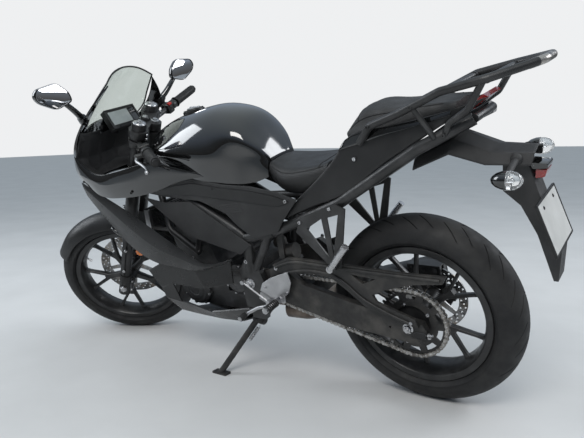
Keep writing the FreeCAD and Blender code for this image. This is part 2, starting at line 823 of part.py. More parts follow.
def side_cowl():
    rows = [
        # from nose to tank: x, y, z
        points([(592, 212, 868), (509, 222, 812), (454, COWL, 800), (363, COWL, 812), (261, 220, 832),
                (190, 212, 846), (75, 192, 818), (-9, 166.8, 792)]),
        points([(575, 222, 800), (500, 230, 780), (440, 234, 765), (363, 232, 770), (261, 226, 780),
                (190, 216, 790), (75, 194, 800), (-12, 166.6, 788)]),
        points([(529, 224, 757), (487, 224, 722), (432, 222, 710), (363, 220, 712), (288, 214, 718),
                (200, 206, 735), (75, 190, 772), (-18, 166.4, 784)]),
    ]
    return sheet(rows, INWARD)


NOSE_ROWS = [
    # centre outwards: x, y, z, from the screen's border down to the chin
    points([(640, 0, 972), (628, 80, 962), (592, 126, 958), (535, 142, 1000), (425, 112, 1108)]),
    points([(692, 0, 925), (672, 82, 916), (632, 150, 908), (578, 184, 942), (493, 198, 1005)]),
    points([(745, 0, 872), (715, 85, 868), (662, 150, 866), (626, 188, 868), (586, 207.6, 872)]),
    points([(735, 0, 812), (712, 85, 800), (676, 150, 790), (625, 195, 796), (570, 216.6, 806)]),
    points([(672, 0, 742), (660, 80, 738), (632, 145, 731), (590, 182, 730), (556, 197.4, 730)]),
]
NOSE_INWARD = V(-5, 0, 0)
LAMP_WINDOW = ((52, 850), (150, 856), (186, 842), (150, 806), (60, 812))


def lamp_prism(start, grow):
    """Block along x with the outline of one lamp, grown about its middle."""
    corners = [V(start, 112 + (y - 112) * grow, 832 + (z - 832) * grow) for y, z in LAMP_WINDOW]
    return Part.Face(closed(corners)).extrude(V(200, 0, 0))


def nose_skin():
    return sheet([across(row) for row in NOSE_ROWS], NOSE_INWARD)


def nose():
    """Front cowl with its two lamp windows and the wings beside the screen."""
    windows = pair(lamp_prism(580, 1.0)).Solids
    return nose_skin().cut(windows)


def screen():
    """Smoked screen that laps the cowl along its lower edge and sides."""
    rows = [
        points([(440, 0, 1160), (437, 56, 1150), (426, 114, 1113)]),
        points([(540, 0, 1085), (533, 72, 1072), (497, 134, 1049)]),
        points([(604, 0, 1020), (594, 78, 1008), (546, 145, 1000)]),
        points([(651.5, 0, 966.5), (639, 81, 956.5), (603, 129, 953.5)]),
    ]
    return sheet([across(row) for row in rows], V(-2, 0, -3))


def blade():
    rows = [
        points([(607, 200, 760), (346, 214, 650), (117, 222, 534), (17, 220, 486), (-101, 204, 508)]),
        points([(592, 200, 700), (400, 212, 585), (196, 216, 480), (84, 214, 452), (-99, 202, 500)]),
    ]
    return sheet(rows, INWARD)


def inner_panel():
    outline = [(309, 698), (211, 682), (80, 690), (-162, 546), (-109, 508), (124, 560)]
    return slab(outline, RAIL_SIDE, RAIL_SIDE + PANEL)


def belly_side():
    rows = [
        points([(330, 206, 420), (196, 211.6, 486), (84, 209.6, 458), (-80, 190, 492)]),
        points([(297, 190, 343), (223, 196, 372), (65, 196, 372), (-60, 176, 400)]),
    ]
    lower = [
        points([(290, 184, 300), (190, 176, 287), (80, 168, 261), (-97, 161, 297)]),
        points([(282, 130, 222), (190, 128, 216), (80, 122, 210), (-20, 118, 214)]),
        points([(262, 0, 180), (190, 0, 172), (80, 0, 168), (-10, 0, 172)]),
    ]
    front = [
        points([(330, 206, 420), (297, 190, 343), (290, 184, 300)]),
        points([(270, 208, 448), (223, 196, 372), (215, 180, 290)]),
    ]
    return sheet(rows, INWARD), sheet(lower, V(0, -PANEL, PANEL)), sheet(front, INWARD)


def belly():
    upper, lower, front = belly_side()
    left = upper.fuse([lower, front])
    plates = [pivot_plate(), mirrored(pivot_plate())]
    return left.fuse(mirrored(left)).removeSplitter().cut(plates)


def side_cover():
    outline = [(294, 716), (147, 756), (50, 772), (-94, 756), (-206, 752), (-302, 736), (-375, 714), (-306, 636),
               (-285, 602), (-182, 572), (-120, 612), (-75, 655), (30, 694), (200, 704)]
    return slab(outline, RAIL_SIDE, RAIL_SIDE + PANEL)


def tail_cover():
    rows = [
        points([(-378, 140, 722), (-517, 120, 851), (-543, 116, 886), (-700, 104, 923), (-872, 84, 958),
                (-935, 62, 975)]),
        points([(-300, 148, 640), (-426, 144, 692), (-508, 140, 720), (-683, 124, 834), (-827, 100, 914),
                (-895, 70, 944)]),
    ]
    return sheet(rows, INWARD)


computed("side_cowls", pair(side_cowl()))
computed("front_cowl", nose())
computed("windscreen", screen())
computed("blades", pair(outside(blade(), nose_skin())))
computed("inner_panels", pair(inner_panel()))
computed("belly_pan", belly())
computed("side_covers", pair(side_cover()))
computed("tail_covers", pair(tail_cover()))


def fuel_tank():
    """Domed upper shell over a lower body with knee recesses."""
    table = (
        # x, top z, shoulder y, shoulder z, waist y, waist z, foot y, foot z
        (316, 908, 34, 896, 48, 872, 40, 846),
        (268, 930, 84, 900, 112, 868, 92, 832),
        (204, 956, 118, 905, 158, 866, 138, 808),
        (86, 984, 140, 918, 172, 860, 156, 776),
        (-40, 994, 138, 922, 168, 850, 157.6, 750),
        (-140, 962, 122, 905, 132, 840, 146, 748),
        (-190, 890, 96, 872, 106, 830, 118, 752),
        (-228, 822, 60, 818, 76, 800, 86, 764),
    )
    sections = []
    for x, top, shoulder, shoulder_z, waist, waist_z, foot, foot_z in table:
        rise = shoulder_z + (top - shoulder_z) * 0.78
        left = [V(x, shoulder * 0.55, rise), V(x, shoulder, shoulder_z), V(x, waist, waist_z), V(x, foot, foot_z)]
        right = [V(p.x, -p.y, p.z) for p in reversed(left)]
        sections.append([V(x, 0, top)] + left + right)
    return lofted(sections)


def seat_loft(table):
    sections = []
    for x, top, half, edge_z, low_half, low_z in table:
        left = [V(x, half * 0.6, top - 4), V(x, half, edge_z), V(x, low_half, low_z)]
        sections.append([V(x, 0, top)] + left + [V(p.x, -p.y, p.z) for p in reversed(left)])
    return lofted(sections)


computed("fuel_tank", fuel_tank())
computed("rider_seat", seat_loft((
    # x, top z, half width, edge z, low half width, low z
    (-232, 815, 84, 798, 80, 760),
    (-317, 806, 128, 780, 122, 728.2),
    (-400, 810, 130, 790, 120, 728.2),
    (-470, 822, 118, 806, 112, 752),
)))
computed("pillion_seat", seat_loft((
    (-532, 905, 80, 898, 76, 882),
    (-590, 968, 96, 926, 108.1, 890),
    (-700, 972, 97, 950, 99.7, 912),
    (-860, 972, 76, 968, 81.1, 946),
)))


# Exhaust, shock and small chassis pieces

MUFFLER_START = V(-362, -196, 266)
MUFFLER_END = V(-640, -208, 345)
MUFFLER_RUN = (MUFFLER_END - MUFFLER_START).normalize()
MUFFLER_INLET = MUFFLER_START - MUFFLER_RUN * 22


def exhaust_pipe():
    """Header from the cylinder head down and back under the engine, with the wide chamber behind it."""
    pipe = bent_tube([V(270, -30, 508), V(314, -30, 488), V(308, -30, 226), V(-150, -60, 222)], 17, 24)
    drum = bent_tube([V(-112, -58, 203), V(-200, -66, 203), V(-262, -140, 214)], 42, 50)
    chamber = bent_tube([V(-215, -100, 212), MUFFLER_INLET - MUFFLER_RUN * 70, MUFFLER_INLET], 31, 60)
    return pipe.fuse([drum, chamber]).cut(engine())


def muffler():
    """Short round silencer, tapered at both ends."""
    body = rod(MUFFLER_START, MUFFLER_END, 48, 54)
    cap = rod(MUFFLER_END, MUFFLER_END + MUFFLER_RUN * 34, 54, 36)
    inlet = rod(MUFFLER_INLET, MUFFLER_START, 33, 48)
    hole = rod(MUFFLER_END, MUFFLER_END + MUFFLER_RUN * 60, 22)
    return body.fuse([cap, inlet]).cut(hole)


def shock():
    """Damper with bellows from the swingarm's bridge to the cross bar, and its canister on a hanger."""
    low = V(-275, 0, 345)
    lean = (CROSS_BAR - low).normalize()
    eye = 16
    high = CROSS_BAR - lean * (size("cross_radius") + eye + size("seat_gap"))
    body = rod(low, high, 19)
    eyes = [rod(spot - AXIS_Y * 20, spot + AXIS_Y * 20, radius) for spot, radius in ((low, 18.7), (high, eye))]
    span = high - low
    bellows = [rod(low + span * share, low + span * (share + 0.06), 33) for share in (0.2, 0.3, 0.4, 0.5, 0.6, 0.7)]
    can = rod(V(-235, 90, 500), V(-290, 90, 512), 26)
    hanger = slab([(-262, 490), (-240, 490), (-240, 604), (-262, 606)], 109, 121.3)
    return Part.makeCompound([body.fuse(eyes + bellows), can.fuse(hanger)])


def chain_guard():
    """Upper brace over the chain, from the swingarm's front to its rear."""
    outline = [(-226, 476), (-291, 508), (-376, 508), (-498, 505), (-671, 498), (-823, 501), (-812, 478),
               (-724, 466), (-640, 440), (-587, 415), (-600, 392), (-720, 352), (-728, 326), (-700, 330), (-560, 372),
               (-500, 420), (-450, 455), (-400, 462), (-300, 455), (-262, 440)]
    slot = [(-523, 476), (-606, 470), (-560, 448)]
    return slab(outline, ARM_OUTER, ARM_OUTER + 12).cut(slab(slot, ARM_OUTER - 5, ARM_OUTER + 20))


def foot_brackets():
    """Heel plates beside the pivot, with the peg mounts."""
    heel = slab([(-293, 463), (-300, 425), (-284, 385), (-262, 368), (-210, 362), (-165, 380), (-180, 410),
                 (-215, 432)], 158, 163)
    arm = slab([(-225, 372), (-262, 378), (-262, 345), (-180, 330), (-150, 345), (-160, 372)], FRAME_HALF + 12, 158)
    return pair(heel.fuse(arm))


def foot_pegs():
    """Rider pegs beside the heel plates, and the passenger pegs folded up."""
    peg = rod(V(-235, 158, 351), V(-235, 240, 351), 11)
    hinge = rod(V(-478, 176, 506), V(-478, 196, 506), 11)
    folded = rod(V(-478, 189, 506), V(-548, 200, 590), 11).fuse(hinge)
    return Part.makeCompound([peg, mirrored(peg), folded, mirrored(folded)])


def passenger_brackets():
    """Open V brackets under the rear tubes, in front of and behind the peg."""
    outline = [(-376, 656), (-352, 606), (-470, 492), (-500, 500), (-538, 690), (-508, 704)]
    window = [(-394, 620), (-462, 530), (-452, 656)]
    second = [(-472, 660), (-478, 538), (-512, 672)]
    plate = slab(outline, 154, 159.7).cut(slab(window, 150, 170)).cut(slab(second, 150, 170))
    pivot = rod(V(-478, 159.7, 506), V(-478, 176, 506), 14)
    return pair(plate.fuse(pivot))


def pedals():
    """Shift lever with its link on the left, brake pedal on the right."""
    lever = tube_chain([V(-207, 172, 337), V(-150, 178, 318), V(-110, 190, 297)], 6)
    toe = rod(V(-110, 188, 297), V(-110, 232, 297), 8)
    eye = rod(V(-207, 158, 337), V(-207, 180, 337), 12)
    left = lever.fuse([toe, eye])
    right = mirrored(left)
    return Part.makeCompound([left, right])


def caliper(centre, angle, depth, side_low, side_high):
    """Brake caliper straddling a disc, open on the disc's side."""
    turn = Rotation(AXIS_Y, -angle)
    block = Part.makeBox(110, side_high - side_low, depth, V(-55, side_low, 0))
    slot = Part.makeBox(200, 15, depth + 5, V(-100, (side_low + side_high) / 2 - 7.5, -10))
    return placed(block.cut(slot), Placement(centre, turn))


def front_caliper():
    centre = FRONT_AXLE + V(-118, 0, 58)
    disc_at = size("front_disc_at")
    return caliper(centre, 62, 42, disc_at - 26, disc_at + 26)


def rear_caliper():
    """Caliper with the plate that hangs it on the axle beside the swingarm."""
    disc_at = size("rear_disc_at")
    block = caliper(REAR_AXLE + V(20, 0, 84), 0, 38, disc_at - 26, disc_at + 26)
    x, z = REAR_AXLE.x, REAR_AXLE.z
    plate = slab([(x - 22, z - 16), (x + 20, z - 16), (x + 30, z + 60), (x + 75, z + 90), (x + 70, z + 118),
                  (x - 30, z + 118), (x - 34, z + 60)], -size("swingarm_inner"), disc_at - 26)
    return block.fuse(plate).cut(rod(REAR_AXLE - AXIS_Y * 200, REAR_AXLE, size("axle_radius")))


computed("exhaust_pipe", exhaust_pipe())
computed("muffler", muffler())
computed("shock", shock())
computed("chain_guard", chain_guard())
computed("foot_brackets", foot_brackets())
computed("foot_pegs", foot_pegs())
computed("passenger_brackets", passenger_brackets())
computed("pedals", pedals())
computed("front_caliper", front_caliper(), STEERED_PARKED)
computed("rear_caliper", rear_caliper())


# Front end: lamps, mirrors, dash and lining

def headlamps():
    """Lenses that follow the nose from behind their windows."""
    behind = nose_skin()
    behind.translate(NOSE_INWARD - V(size("seat_gap"), 0, 0))
    return pair(behind.common(lamp_prism(580, 1.06)).Solids[0])


def mirror_centre():
    return V(459, 322, 1106)


def mirror_shape(thick, grow):
    centre = mirror_centre()
    table = ((-78, 14), (-50, 40), (20, 46), (66, 30), (74, -2), (40, -42), (-20, -46), (-60, -22))
    back = []
    front = []
    for y, z in table:
        back.append(centre + V(0, y * grow, z * grow))
        front.append(centre + V(thick, y * grow * 0.8, z * grow * 0.8))
    return lofted([back, front])


def mirrors():
    head = mirror_shape(34, 1.0)
    stalk = bent_tube([V(506, 190, 996), V(484, 218, 1022), V(472, 290, 1092)], 9, 20)
    foot = rod(V(508, 186, 992), V(492, 208, 1014), 17)
    return pair(outside(head.fuse([stalk, foot]), nose_skin()))


def mirror_glasses():
    glass = mirror_shape(2, 0.92)
    glass.translate(V(-2.3, 0, 0))
    return pair(glass)


def dash():
    body = Part.makeBox(24, 150, 84, V(0, -75, -42))
    body = placed(body, Placement(V(514, 0, 974), Rotation(AXIS_Y, 30)))
    stay = rod(V(526, 0, 962), V(578, 0, 920), 14)
    return outside(body.fuse(stay), lining_skin())


def lining_skin():
    rows = [
        points([(566, 0, 936), (560, 90, 930), (548, 150, 934), (545, 209, 952)]),
        points([(612, 0, 850), (600, 90, 848), (580, 160, 850), (600, 216, 862)]),
        points([(616, 0, 806), (604, 90, 798), (580, 160, 794), (592, 224, 800)]),
    ]
    return sheet([across(row) for row in rows], V(6, 0, -3))


def lining():
    """Inner skin of the cowl round the instruments, out to the cowl's own skin."""
    return outside(lining_skin(), nose_skin(), side_cowl(), mirrored(side_cowl()))


computed("headlamps", headlamps())
computed("mirrors", mirrors())
computed("mirror_glasses", mirror_glasses())
computed("dash", dash())
computed("cowl_lining", lining())


# Tail: fender, lamps, plate and rack

def under_tail():
    """Arched rear fender with the arm that carries the plate and flap."""
    rows = [
        points([(-723, 0, 824.1), (-841, 0, 884), (-941, 0, 842), (-1041, 0, 838)]),
        points([(-723, 60, 812), (-841, 60, 869), (-941, 60, 830), (-1041, 48, 826)]),
        points([(-723, 78, 790), (-830, 80, 835), (-925, 78, 806), (-1036, 60, 800)]),
    ]
    arch = sheet([[V(p.x, -p.y, p.z) for p in row] for row in rows[:0:-1]] + rows, V(0, 0, -5))
    arm = slab([(-960, 833), (-1021, 830), (-1020, 800), (-1055.1, 690), (-1099.7, 560), (-1090, 470),
                (-1078, 470), (-1040, 600), (-1000, 680), (-955, 720)], -36, 36)
    return arch.fuse(arm)


PLATE_TOP = V(-1052, 0, 700)
PLATE_LOW = V(-1098, 0, 566)
PLATE_PLACE = Placement(PLATE_TOP, Rotation(V(0, 0, 1), PLATE_LOW - PLATE_TOP))


def number_plate():
    """Flat blank board, drawn along its own z and then set on the carrier."""
    board = Part.makeBox(3, 190, (PLATE_LOW - PLATE_TOP).Length, V(0, -95, 0))
    return placed(board, PLATE_PLACE)


def tail_lamp():
    """Lens across the tail's end, and the small lamp above the plate."""
    upper = sheet([points([(-896, -65.6, 944), (-896, 65.6, 944)]), points([(-936, -57.6, 975), (-936, 57.6, 975)])],
                  V(14, 0, 8))
    lower = slab([(-1021.5, 796), (-1066, 792), (-1060, 758), (-1034.3, 752)], -30, 30)
    return Part.makeCompound([upper, outside(lower, under_tail())])


def rear_signals():
    table = ((-968, 8), (-985, 20), (-1004, 24), (-1030, 22), (-1042, 10))
    sections = [Part.Wire(Part.Circle(V(x, 170, 790), V(1, 0, 0), r).toShape()) for x, r in table]
    bulb = Part.makeLoft(sections, True, True)
    stem = rod(V(-1000, 61, 812), V(-1000, 156, 792), 7)
    return pair(outside(bulb.fuse(stem), under_tail()))


def rack():
    """Tubular rack: two bent side tubes that meet at the rear, with their stays and cross bars."""
    side = [V(-590, 119, 876), V(-634, 134, 926), V(-726, 140, 958), V(-845, 148, 1009), V(-956, 140, 1030),
            V(-1062, 60, 1052)]
    left = bent_tube(side + [V(-1070, -20, 1054)], 11, 34)
    stay = bent_tube([V(-950, 138, 1026), V(-908, 132, 958), V(-852, 116, 922), V(-836, 108, 892)], 9, 24)
    front_stay = rod(V(-766, 141, 974), V(-810, 116, 884), 8)
    bars = [rod(V(x, -138, z), V(x, 138, z), 8) for x, z in ((-845, 1007), (-956, 1028))]
    tail = [subframe(), tail_cover()]
    side_set = outside(left.fuse([stay, front_stay]), *tail)
    return side_set.fuse([mirrored(side_set)] + bars)


computed("under_tail", under_tail())
computed("number_plate", number_plate())
computed("tail_lamp", tail_lamp())
computed("rear_signals", rear_signals())
computed("rack", rack())


# Controls on the bars

def levers():
    """Clutch and brake levers with their perches on the bars."""
    run = (GRIP_END - BAR_ROOT).normalize()
    ahead = V(run.y, -run.x, 0).normalize()
    root = GRIP_END - run * (size("grip_length") + 18)
    reach = root + ahead * 36 - V(0, 0, 6)
    perch = ring(root, run, 19, size("bar_radius"), 24).fuse(rod(root + ahead * 17, reach, 8))
    route = [reach, reach + run * 26 + ahead * 8 - V(0, 0, 3), reach + run * 132 - V(0, 0, 8)]
    return pair(perch.fuse([bent_tube(route, 5, 30), Part.makeSphere(8, route[-1])]))


computed("levers", levers(), STEERED_PARKED)


# Checking and writing

def check_and_write():
    DOC.recompute()
    for obj in DOC.Objects:
        faults = [state for state in obj.State if state in ("Invalid", "Error")]
        if faults:
            raise RuntimeError(f"{obj.Name} is {faults}")
    os.makedirs("parts", exist_ok=True)
    for obj in NODES:
        if obj.Shape.isNull() or not obj.Shape.isValid() or not obj.Shape.Solids:
            raise RuntimeError(f"{obj.Label} has no valid solid")
        obj.Shape.exportStep(f"parts/{obj.Label}.step")


check_and_write()
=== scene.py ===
import json
import math

import bmesh
import bpy
from mathutils import Matrix, Vector


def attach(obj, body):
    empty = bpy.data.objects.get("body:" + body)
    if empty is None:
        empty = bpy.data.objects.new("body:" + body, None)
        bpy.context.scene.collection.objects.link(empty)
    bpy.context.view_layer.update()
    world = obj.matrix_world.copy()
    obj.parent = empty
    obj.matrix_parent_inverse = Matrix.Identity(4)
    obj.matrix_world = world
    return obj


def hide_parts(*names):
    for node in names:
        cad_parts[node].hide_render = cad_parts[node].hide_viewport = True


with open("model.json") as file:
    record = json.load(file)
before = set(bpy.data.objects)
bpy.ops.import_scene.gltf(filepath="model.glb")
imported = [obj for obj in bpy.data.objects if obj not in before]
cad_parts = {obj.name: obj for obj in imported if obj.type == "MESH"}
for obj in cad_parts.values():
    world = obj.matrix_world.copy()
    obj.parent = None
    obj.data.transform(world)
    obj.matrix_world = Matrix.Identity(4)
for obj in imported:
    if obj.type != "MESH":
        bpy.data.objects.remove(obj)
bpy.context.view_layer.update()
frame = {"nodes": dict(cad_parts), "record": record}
NODES = frame["nodes"]

# Placements. Shapes are written in millimetres of the upright bike: X forward, Y left, Z up.

SIDES = (1, -1)
FRONT_RADIUS, REAR_RADIUS, HALF_WHEELBASE, TRAIL = 293, 314, 690, 95
FRONT_RIM_HALF, REAR_RIM_HALF = 41, 57
FRONT_DISC_SIDE, REAR_DISC_SIDE = -62, -78
ENGINE_HALF, COVER_FACE, BRACE_FACE = 110, 162.8, 151
# Sheet depths, edge rounding and weld reach, in metres; edges sharper than these angles get rounded.
SHELL, COVER, NOSE_DEPTH, STRIP_DEPTH = 0.003, 0.004, 0.005, 0.0012
EDGE, STRIP_EDGE, WELD_REACH = 0.0012, 0.0005, 0.00002
NODE_ANGLE, SHEET_ANGLE = 38, 50
MM = Matrix.Scale(0.001, 4)
# Parked: shifted in metres, dipped at the nose and leaned to the left, in degrees.
SHIFT, DIP, LEAN, STEER_TURN = (0.0746, -0.2228, -0.00228897), 0.330498, -12.6, 32.5
PARKED = (Matrix.Translation(SHIFT) @ Matrix.Rotation(math.radians(DIP), 4, "Y")
          @ Matrix.Rotation(math.radians(LEAN), 4, "X"))
CASTER = math.radians(25)
FRONT_AXLE = Vector((HALF_WHEELBASE, 0, FRONT_RADIUS))
REAR_AXLE = Vector((-HALF_WHEELBASE, 0, REAR_RADIUS))
STEER_UP = Vector((-math.sin(CASTER), 0, math.cos(CASTER)))
STEER_AHEAD = Vector((math.cos(CASTER), 0, math.sin(CASTER)))
STEER_FOOT = FRONT_AXLE - STEER_AHEAD * (FRONT_RADIUS * math.sin(CASTER) - TRAIL * math.cos(CASTER))
BIKE = PARKED @ MM
FORK = (BIKE @ Matrix.Translation(STEER_FOOT) @ Matrix.Rotation(math.radians(STEER_TURN), 4, STEER_UP)
        @ Matrix.Translation(-STEER_FOOT))
FRONT_WHEEL = FORK @ Matrix.Translation(FRONT_AXLE)
REAR_WHEEL = BIKE @ Matrix.Translation(REAR_AXLE)
PLACES = {"chassis": BIKE, "side_stand": BIKE, "steering": FORK, "front_wheel": FRONT_WHEEL,
          "rear_wheel": REAR_WHEEL}


# Materials

def node_tree(name):
    made = bpy.data.materials.new(name)
    made.use_nodes = True
    return made, made.node_tree.nodes, made.node_tree.links


def noise(nodes, links, coords, scale, detail=4.0, rough=0.55):
    texture = nodes.new("ShaderNodeTexNoise")
    texture.inputs["Scale"].default_value = scale
    texture.inputs["Detail"].default_value = detail
    texture.inputs["Roughness"].default_value = rough
    links.new(coords, texture.inputs["Vector"])
    return texture.outputs["Fac"]


def ramp(nodes, links, source, stops):
    made = nodes.new("ShaderNodeValToRGB")
    band = made.color_ramp
    while len(band.elements) < len(stops):
        band.elements.new(0.5)
    for element, (place, colour) in zip(band.elements, stops):
        element.position = place
        element.color = (*colour, 1)
    links.new(source, made.inputs["Fac"])
    return made.outputs["Color"]


def spread(nodes, links, source, low, high):
    made = nodes.new("ShaderNodeMapRange")
    made.inputs["From Min"].default_value = 0.3
    made.inputs["From Max"].default_value = 0.7
    made.inputs["To Min"].default_value = low
    made.inputs["To Max"].default_value = high
    links.new(source, made.inputs["Value"])
    return made.outputs["Result"]


def finish_of(name, colours, rough, scale, grain=None, grain_depth=0.1, stretch=(1, 1, 1), cells=False, **sockets):
    """A surface whose colour and roughness drift with noise, with a fine grain in its bump."""
    made, nodes, links = node_tree(name)
    shader = nodes["Principled BSDF"]
    mapping = nodes.new("ShaderNodeMapping")
    mapping.inputs["Scale"].default_value = stretch
    links.new(nodes.new("ShaderNodeTexCoord").outputs["Object"], mapping.inputs["Vector"])
    where = mapping.outputs["Vector"]
    drift = noise(nodes, links, where, scale)
    stops = [(0.3 + 0.4 * index / max(1, len(colours) - 1), colour) for index, colour in enumerate(colours)]
    links.new(ramp(nodes, links, drift, stops), shader.inputs["Base Color"])
    patches = noise(nodes, links, where, scale * 3.1, 6)
    links.new(spread(nodes, links, patches, *rough), shader.inputs["Roughness"])
    if grain:
        if cells:
            texture = nodes.new("ShaderNodeTexVoronoi")
            texture.inputs["Scale"].default_value = grain
            links.new(where, texture.inputs["Vector"])
            height = texture.outputs["Distance"]
        else:
            height = noise(nodes, links, where, grain, 3)
        bump = nodes.new("ShaderNodeBump")
        bump.inputs["Strength"].default_value = grain_depth
        bump.inputs["Distance"].default_value = 0.001
        links.new(height, bump.inputs["Height"])
        links.new(bump.outputs["Normal"], shader.inputs["Normal"])
    for socket, value in sockets.items():
        shader.inputs[socket.replace("_", " ")].default_value = value
    return made


def grey(*levels):
    return [(level, level, level * 1.02) for level in levels]


GLOSS = finish_of("gloss_black", grey(0.0035, 0.006), (0.05, 0.11), 5, 900, 0.015,
                  Coat_Weight=1.0, Coat_Roughness=0.03, Specular_IOR_Level=0.6)
SATIN = finish_of("satin_black", grey(0.006, 0.01, 0.015), (0.24, 0.36), 7, 1400, 0.08, Specular_IOR_Level=0.4)
PANEL = finish_of("panel_black", grey(0.008, 0.012, 0.018), (0.32, 0.46), 7, 1600, 0.12, Specular_IOR_Level=0.4)
GRAIN = finish_of("grained_grey", grey(0.016, 0.024, 0.038), (0.46, 0.64), 8, 1100, 0.5, cells=True,
                  Specular_IOR_Level=0.4)
FRAME_PAINT = finish_of("frame_paint", grey(0.012, 0.018, 0.04), (0.3, 0.5), 14, 700, 0.1)
WHEEL_PAINT = finish_of("wheel_paint", grey(0.011, 0.016, 0.035), (0.28, 0.46), 16, 900, 0.08)
RUBBER = finish_of("tyre_rubber", [(0.009, 0.009, 0.0095), (0.013, 0.013, 0.0135), (0.024, 0.0235, 0.0225)],
                   (0.55, 0.78), 9, 700, 0.22, Specular_IOR_Level=0.4)
GRIP = finish_of("grip_rubber", grey(0.012, 0.02), (0.6, 0.8), 20, 900, 0.3, cells=True)
VINYL = finish_of("seat_vinyl", grey(0.009, 0.014, 0.024), (0.36, 0.55), 8, 620, 0.55, cells=True)
GRIPPY = finish_of("textured_vinyl", grey(0.012, 0.018, 0.03), (0.5, 0.7), 8, 380, 0.9, cells=True)
CAST = finish_of("cast_grey", grey(0.03, 0.05, 0.085), (0.42, 0.62), 18, 600, 0.35, Metallic=0.35)
BARE = finish_of("bare_aluminium", grey(0.4, 0.46, 0.52), (0.28, 0.4), 24, 420, 0.1, Metallic=1.0)
STEEL = finish_of("bright_steel", grey(0.38, 0.5, 0.6), (0.2, 0.36), 30, 500, 0.08, Metallic=1.0)
DISC = finish_of("disc_steel", [(0.2, 0.2, 0.2), (0.34, 0.34, 0.34), (0.3, 0.25, 0.2)],
                 (0.24, 0.4), 26, 900, 0.1, Metallic=1.0)
GRIMY = finish_of("grimy_steel", [(0.07, 0.064, 0.057), (0.3, 0.285, 0.265), (0.55, 0.54, 0.52)],
                  (0.3, 0.55), 60, 900, 0.3, Metallic=0.85)
BURNT = finish_of("burnt_steel", [(0.12, 0.095, 0.08), (0.2, 0.165, 0.14), (0.3, 0.26, 0.23)],
                  (0.3, 0.5), 14, 500, 0.15, Metallic=0.9)
DUSTY = finish_of("dusty_black", [(0.01, 0.01, 0.01), (0.02, 0.019, 0.018), (0.055, 0.051, 0.046)],
                  (0.4, 0.66), 15, 800, 0.2)
FORK_GREY = finish_of("fork_grey", grey(0.02, 0.03, 0.05), (0.25, 0.42), 16, 700, 0.08, Metallic=0.5)
CORD = finish_of("cord_black", grey(0.008, 0.014, 0.03), (0.75, 0.95), 30, 420, 0.8, cells=True)
WHITE = finish_of("plate_white", [(0.5, 0.5, 0.48), (0.62, 0.62, 0.6), (0.66, 0.66, 0.65)], (0.35, 0.5), 6, 500, 0.05)
DISPLAY = finish_of("display_grey", [(0.26, 0.29, 0.28), (0.32, 0.35, 0.34)], (0.12, 0.2), 12, 300, 0.02,
                    Coat_Weight=1.0)
MIRROR = finish_of("mirror_glass", grey(0.78, 0.84), (0.015, 0.03), 5, Metallic=1.0)
RED = finish_of("red_lens", [(0.22, 0.008, 0.007), (0.34, 0.012, 0.01)], (0.08, 0.16), 10, 260, 0.3, cells=True,
                Coat_Weight=1.0, Transmission_Weight=0.25)
SWITCH_RED = finish_of("switch_red", [(0.42, 0.02, 0.015), (0.52, 0.03, 0.02)], (0.3, 0.42), 20, 500, 0.1)
AMBER = finish_of("amber_lens", [(0.75, 0.16, 0.01), (0.9, 0.22, 0.015)], (0.1, 0.2), 10, 260, 0.3, cells=True,
                  Coat_Weight=1.0)
CLEAR = finish_of("clear_lens", [(0.82, 0.85, 0.86), (0.9, 0.92, 0.93)], (0.03, 0.08), 8, 240, 0.25, (1, 1, 0.3),
                  cells=True, Transmission_Weight=0.9, IOR=1.45)
SMOKE = finish_of("smoked_screen", [(0.6, 0.66, 0.62), (0.68, 0.73, 0.7)], (0.01, 0.03), 4,
                  Transmission_Weight=0.97, IOR=1.06, Coat_Weight=0.4)
WORN = finish_of("worn_paint", [(0.02, 0.02, 0.02), (0.2, 0.19, 0.18), (0.55, 0.52, 0.48)],
                 (0.25, 0.4), 22, 500, 0.1, Metallic=0.8)

SLOT_LOOKS = {slot: look for look, slots in (
    (RUBBER, "tyre"), (WHEEL_PAINT, "wheel_black"), (DISC, "disc_steel"), (GRIMY, "chain_steel"),
    (DUSTY, "sprocket_steel radiator_black swingarm_black shock_black guard_grey stand_black"),
    (FRAME_PAINT, "frame_black clamp_black bar_black muffler_black bracket_black caliper_black rack_black"),
    (CAST, "engine_grey cover_grey"), (STEEL, "axle_steel peg_alu"), (FORK_GREY, "fork_grey"), (GRIP, "grip_rubber"),
    (BARE, "lever_metal heel_alu pedal_steel"), (PANEL, "mudguard_black tail_gloss mirror_black dash_black"),
    (GLOSS, "cowl_gloss nose_gloss tank_gloss"), (SMOKE, "screen_smoke"), (SATIN, "blade_satin belly_satin"),
    (GRAIN, "inner_grey cover_satin lining_black tail_black"), (VINYL, "seat_vinyl"), (GRIPPY, "pillion_vinyl"),
    (BURNT, "exhaust_steel"), (CLEAR, "lamp_clear signal_clear"), (MIRROR, "mirror_glass"), (WHITE, "plate_white"),
    (RED, "lamp_red"),
) for slot in slots.split()}


def weld(obj):
    obj.modifiers.new("weld", "WELD").merge_threshold = WELD_REACH


def soften(obj, width, degrees):
    """Takes the hardness off the edges that are sharper than an angle."""
    edge = obj.modifiers.new("edge", "BEVEL")
    edge.width = width
    edge.segments = 2
    edge.limit_method = "ANGLE"
    edge.angle_limit = math.radians(degrees)


def dress_nodes():
    """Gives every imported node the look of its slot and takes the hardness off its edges."""
    for row in frame["record"]["subparts"]:
        obj = NODES[row["node"]]
        obj.data.materials.clear()
        obj.data.materials.append(SLOT_LOOKS[row["material_slot"]])
        weld(obj)
        soften(obj, EDGE, NODE_ANGLE)


# Building pieces

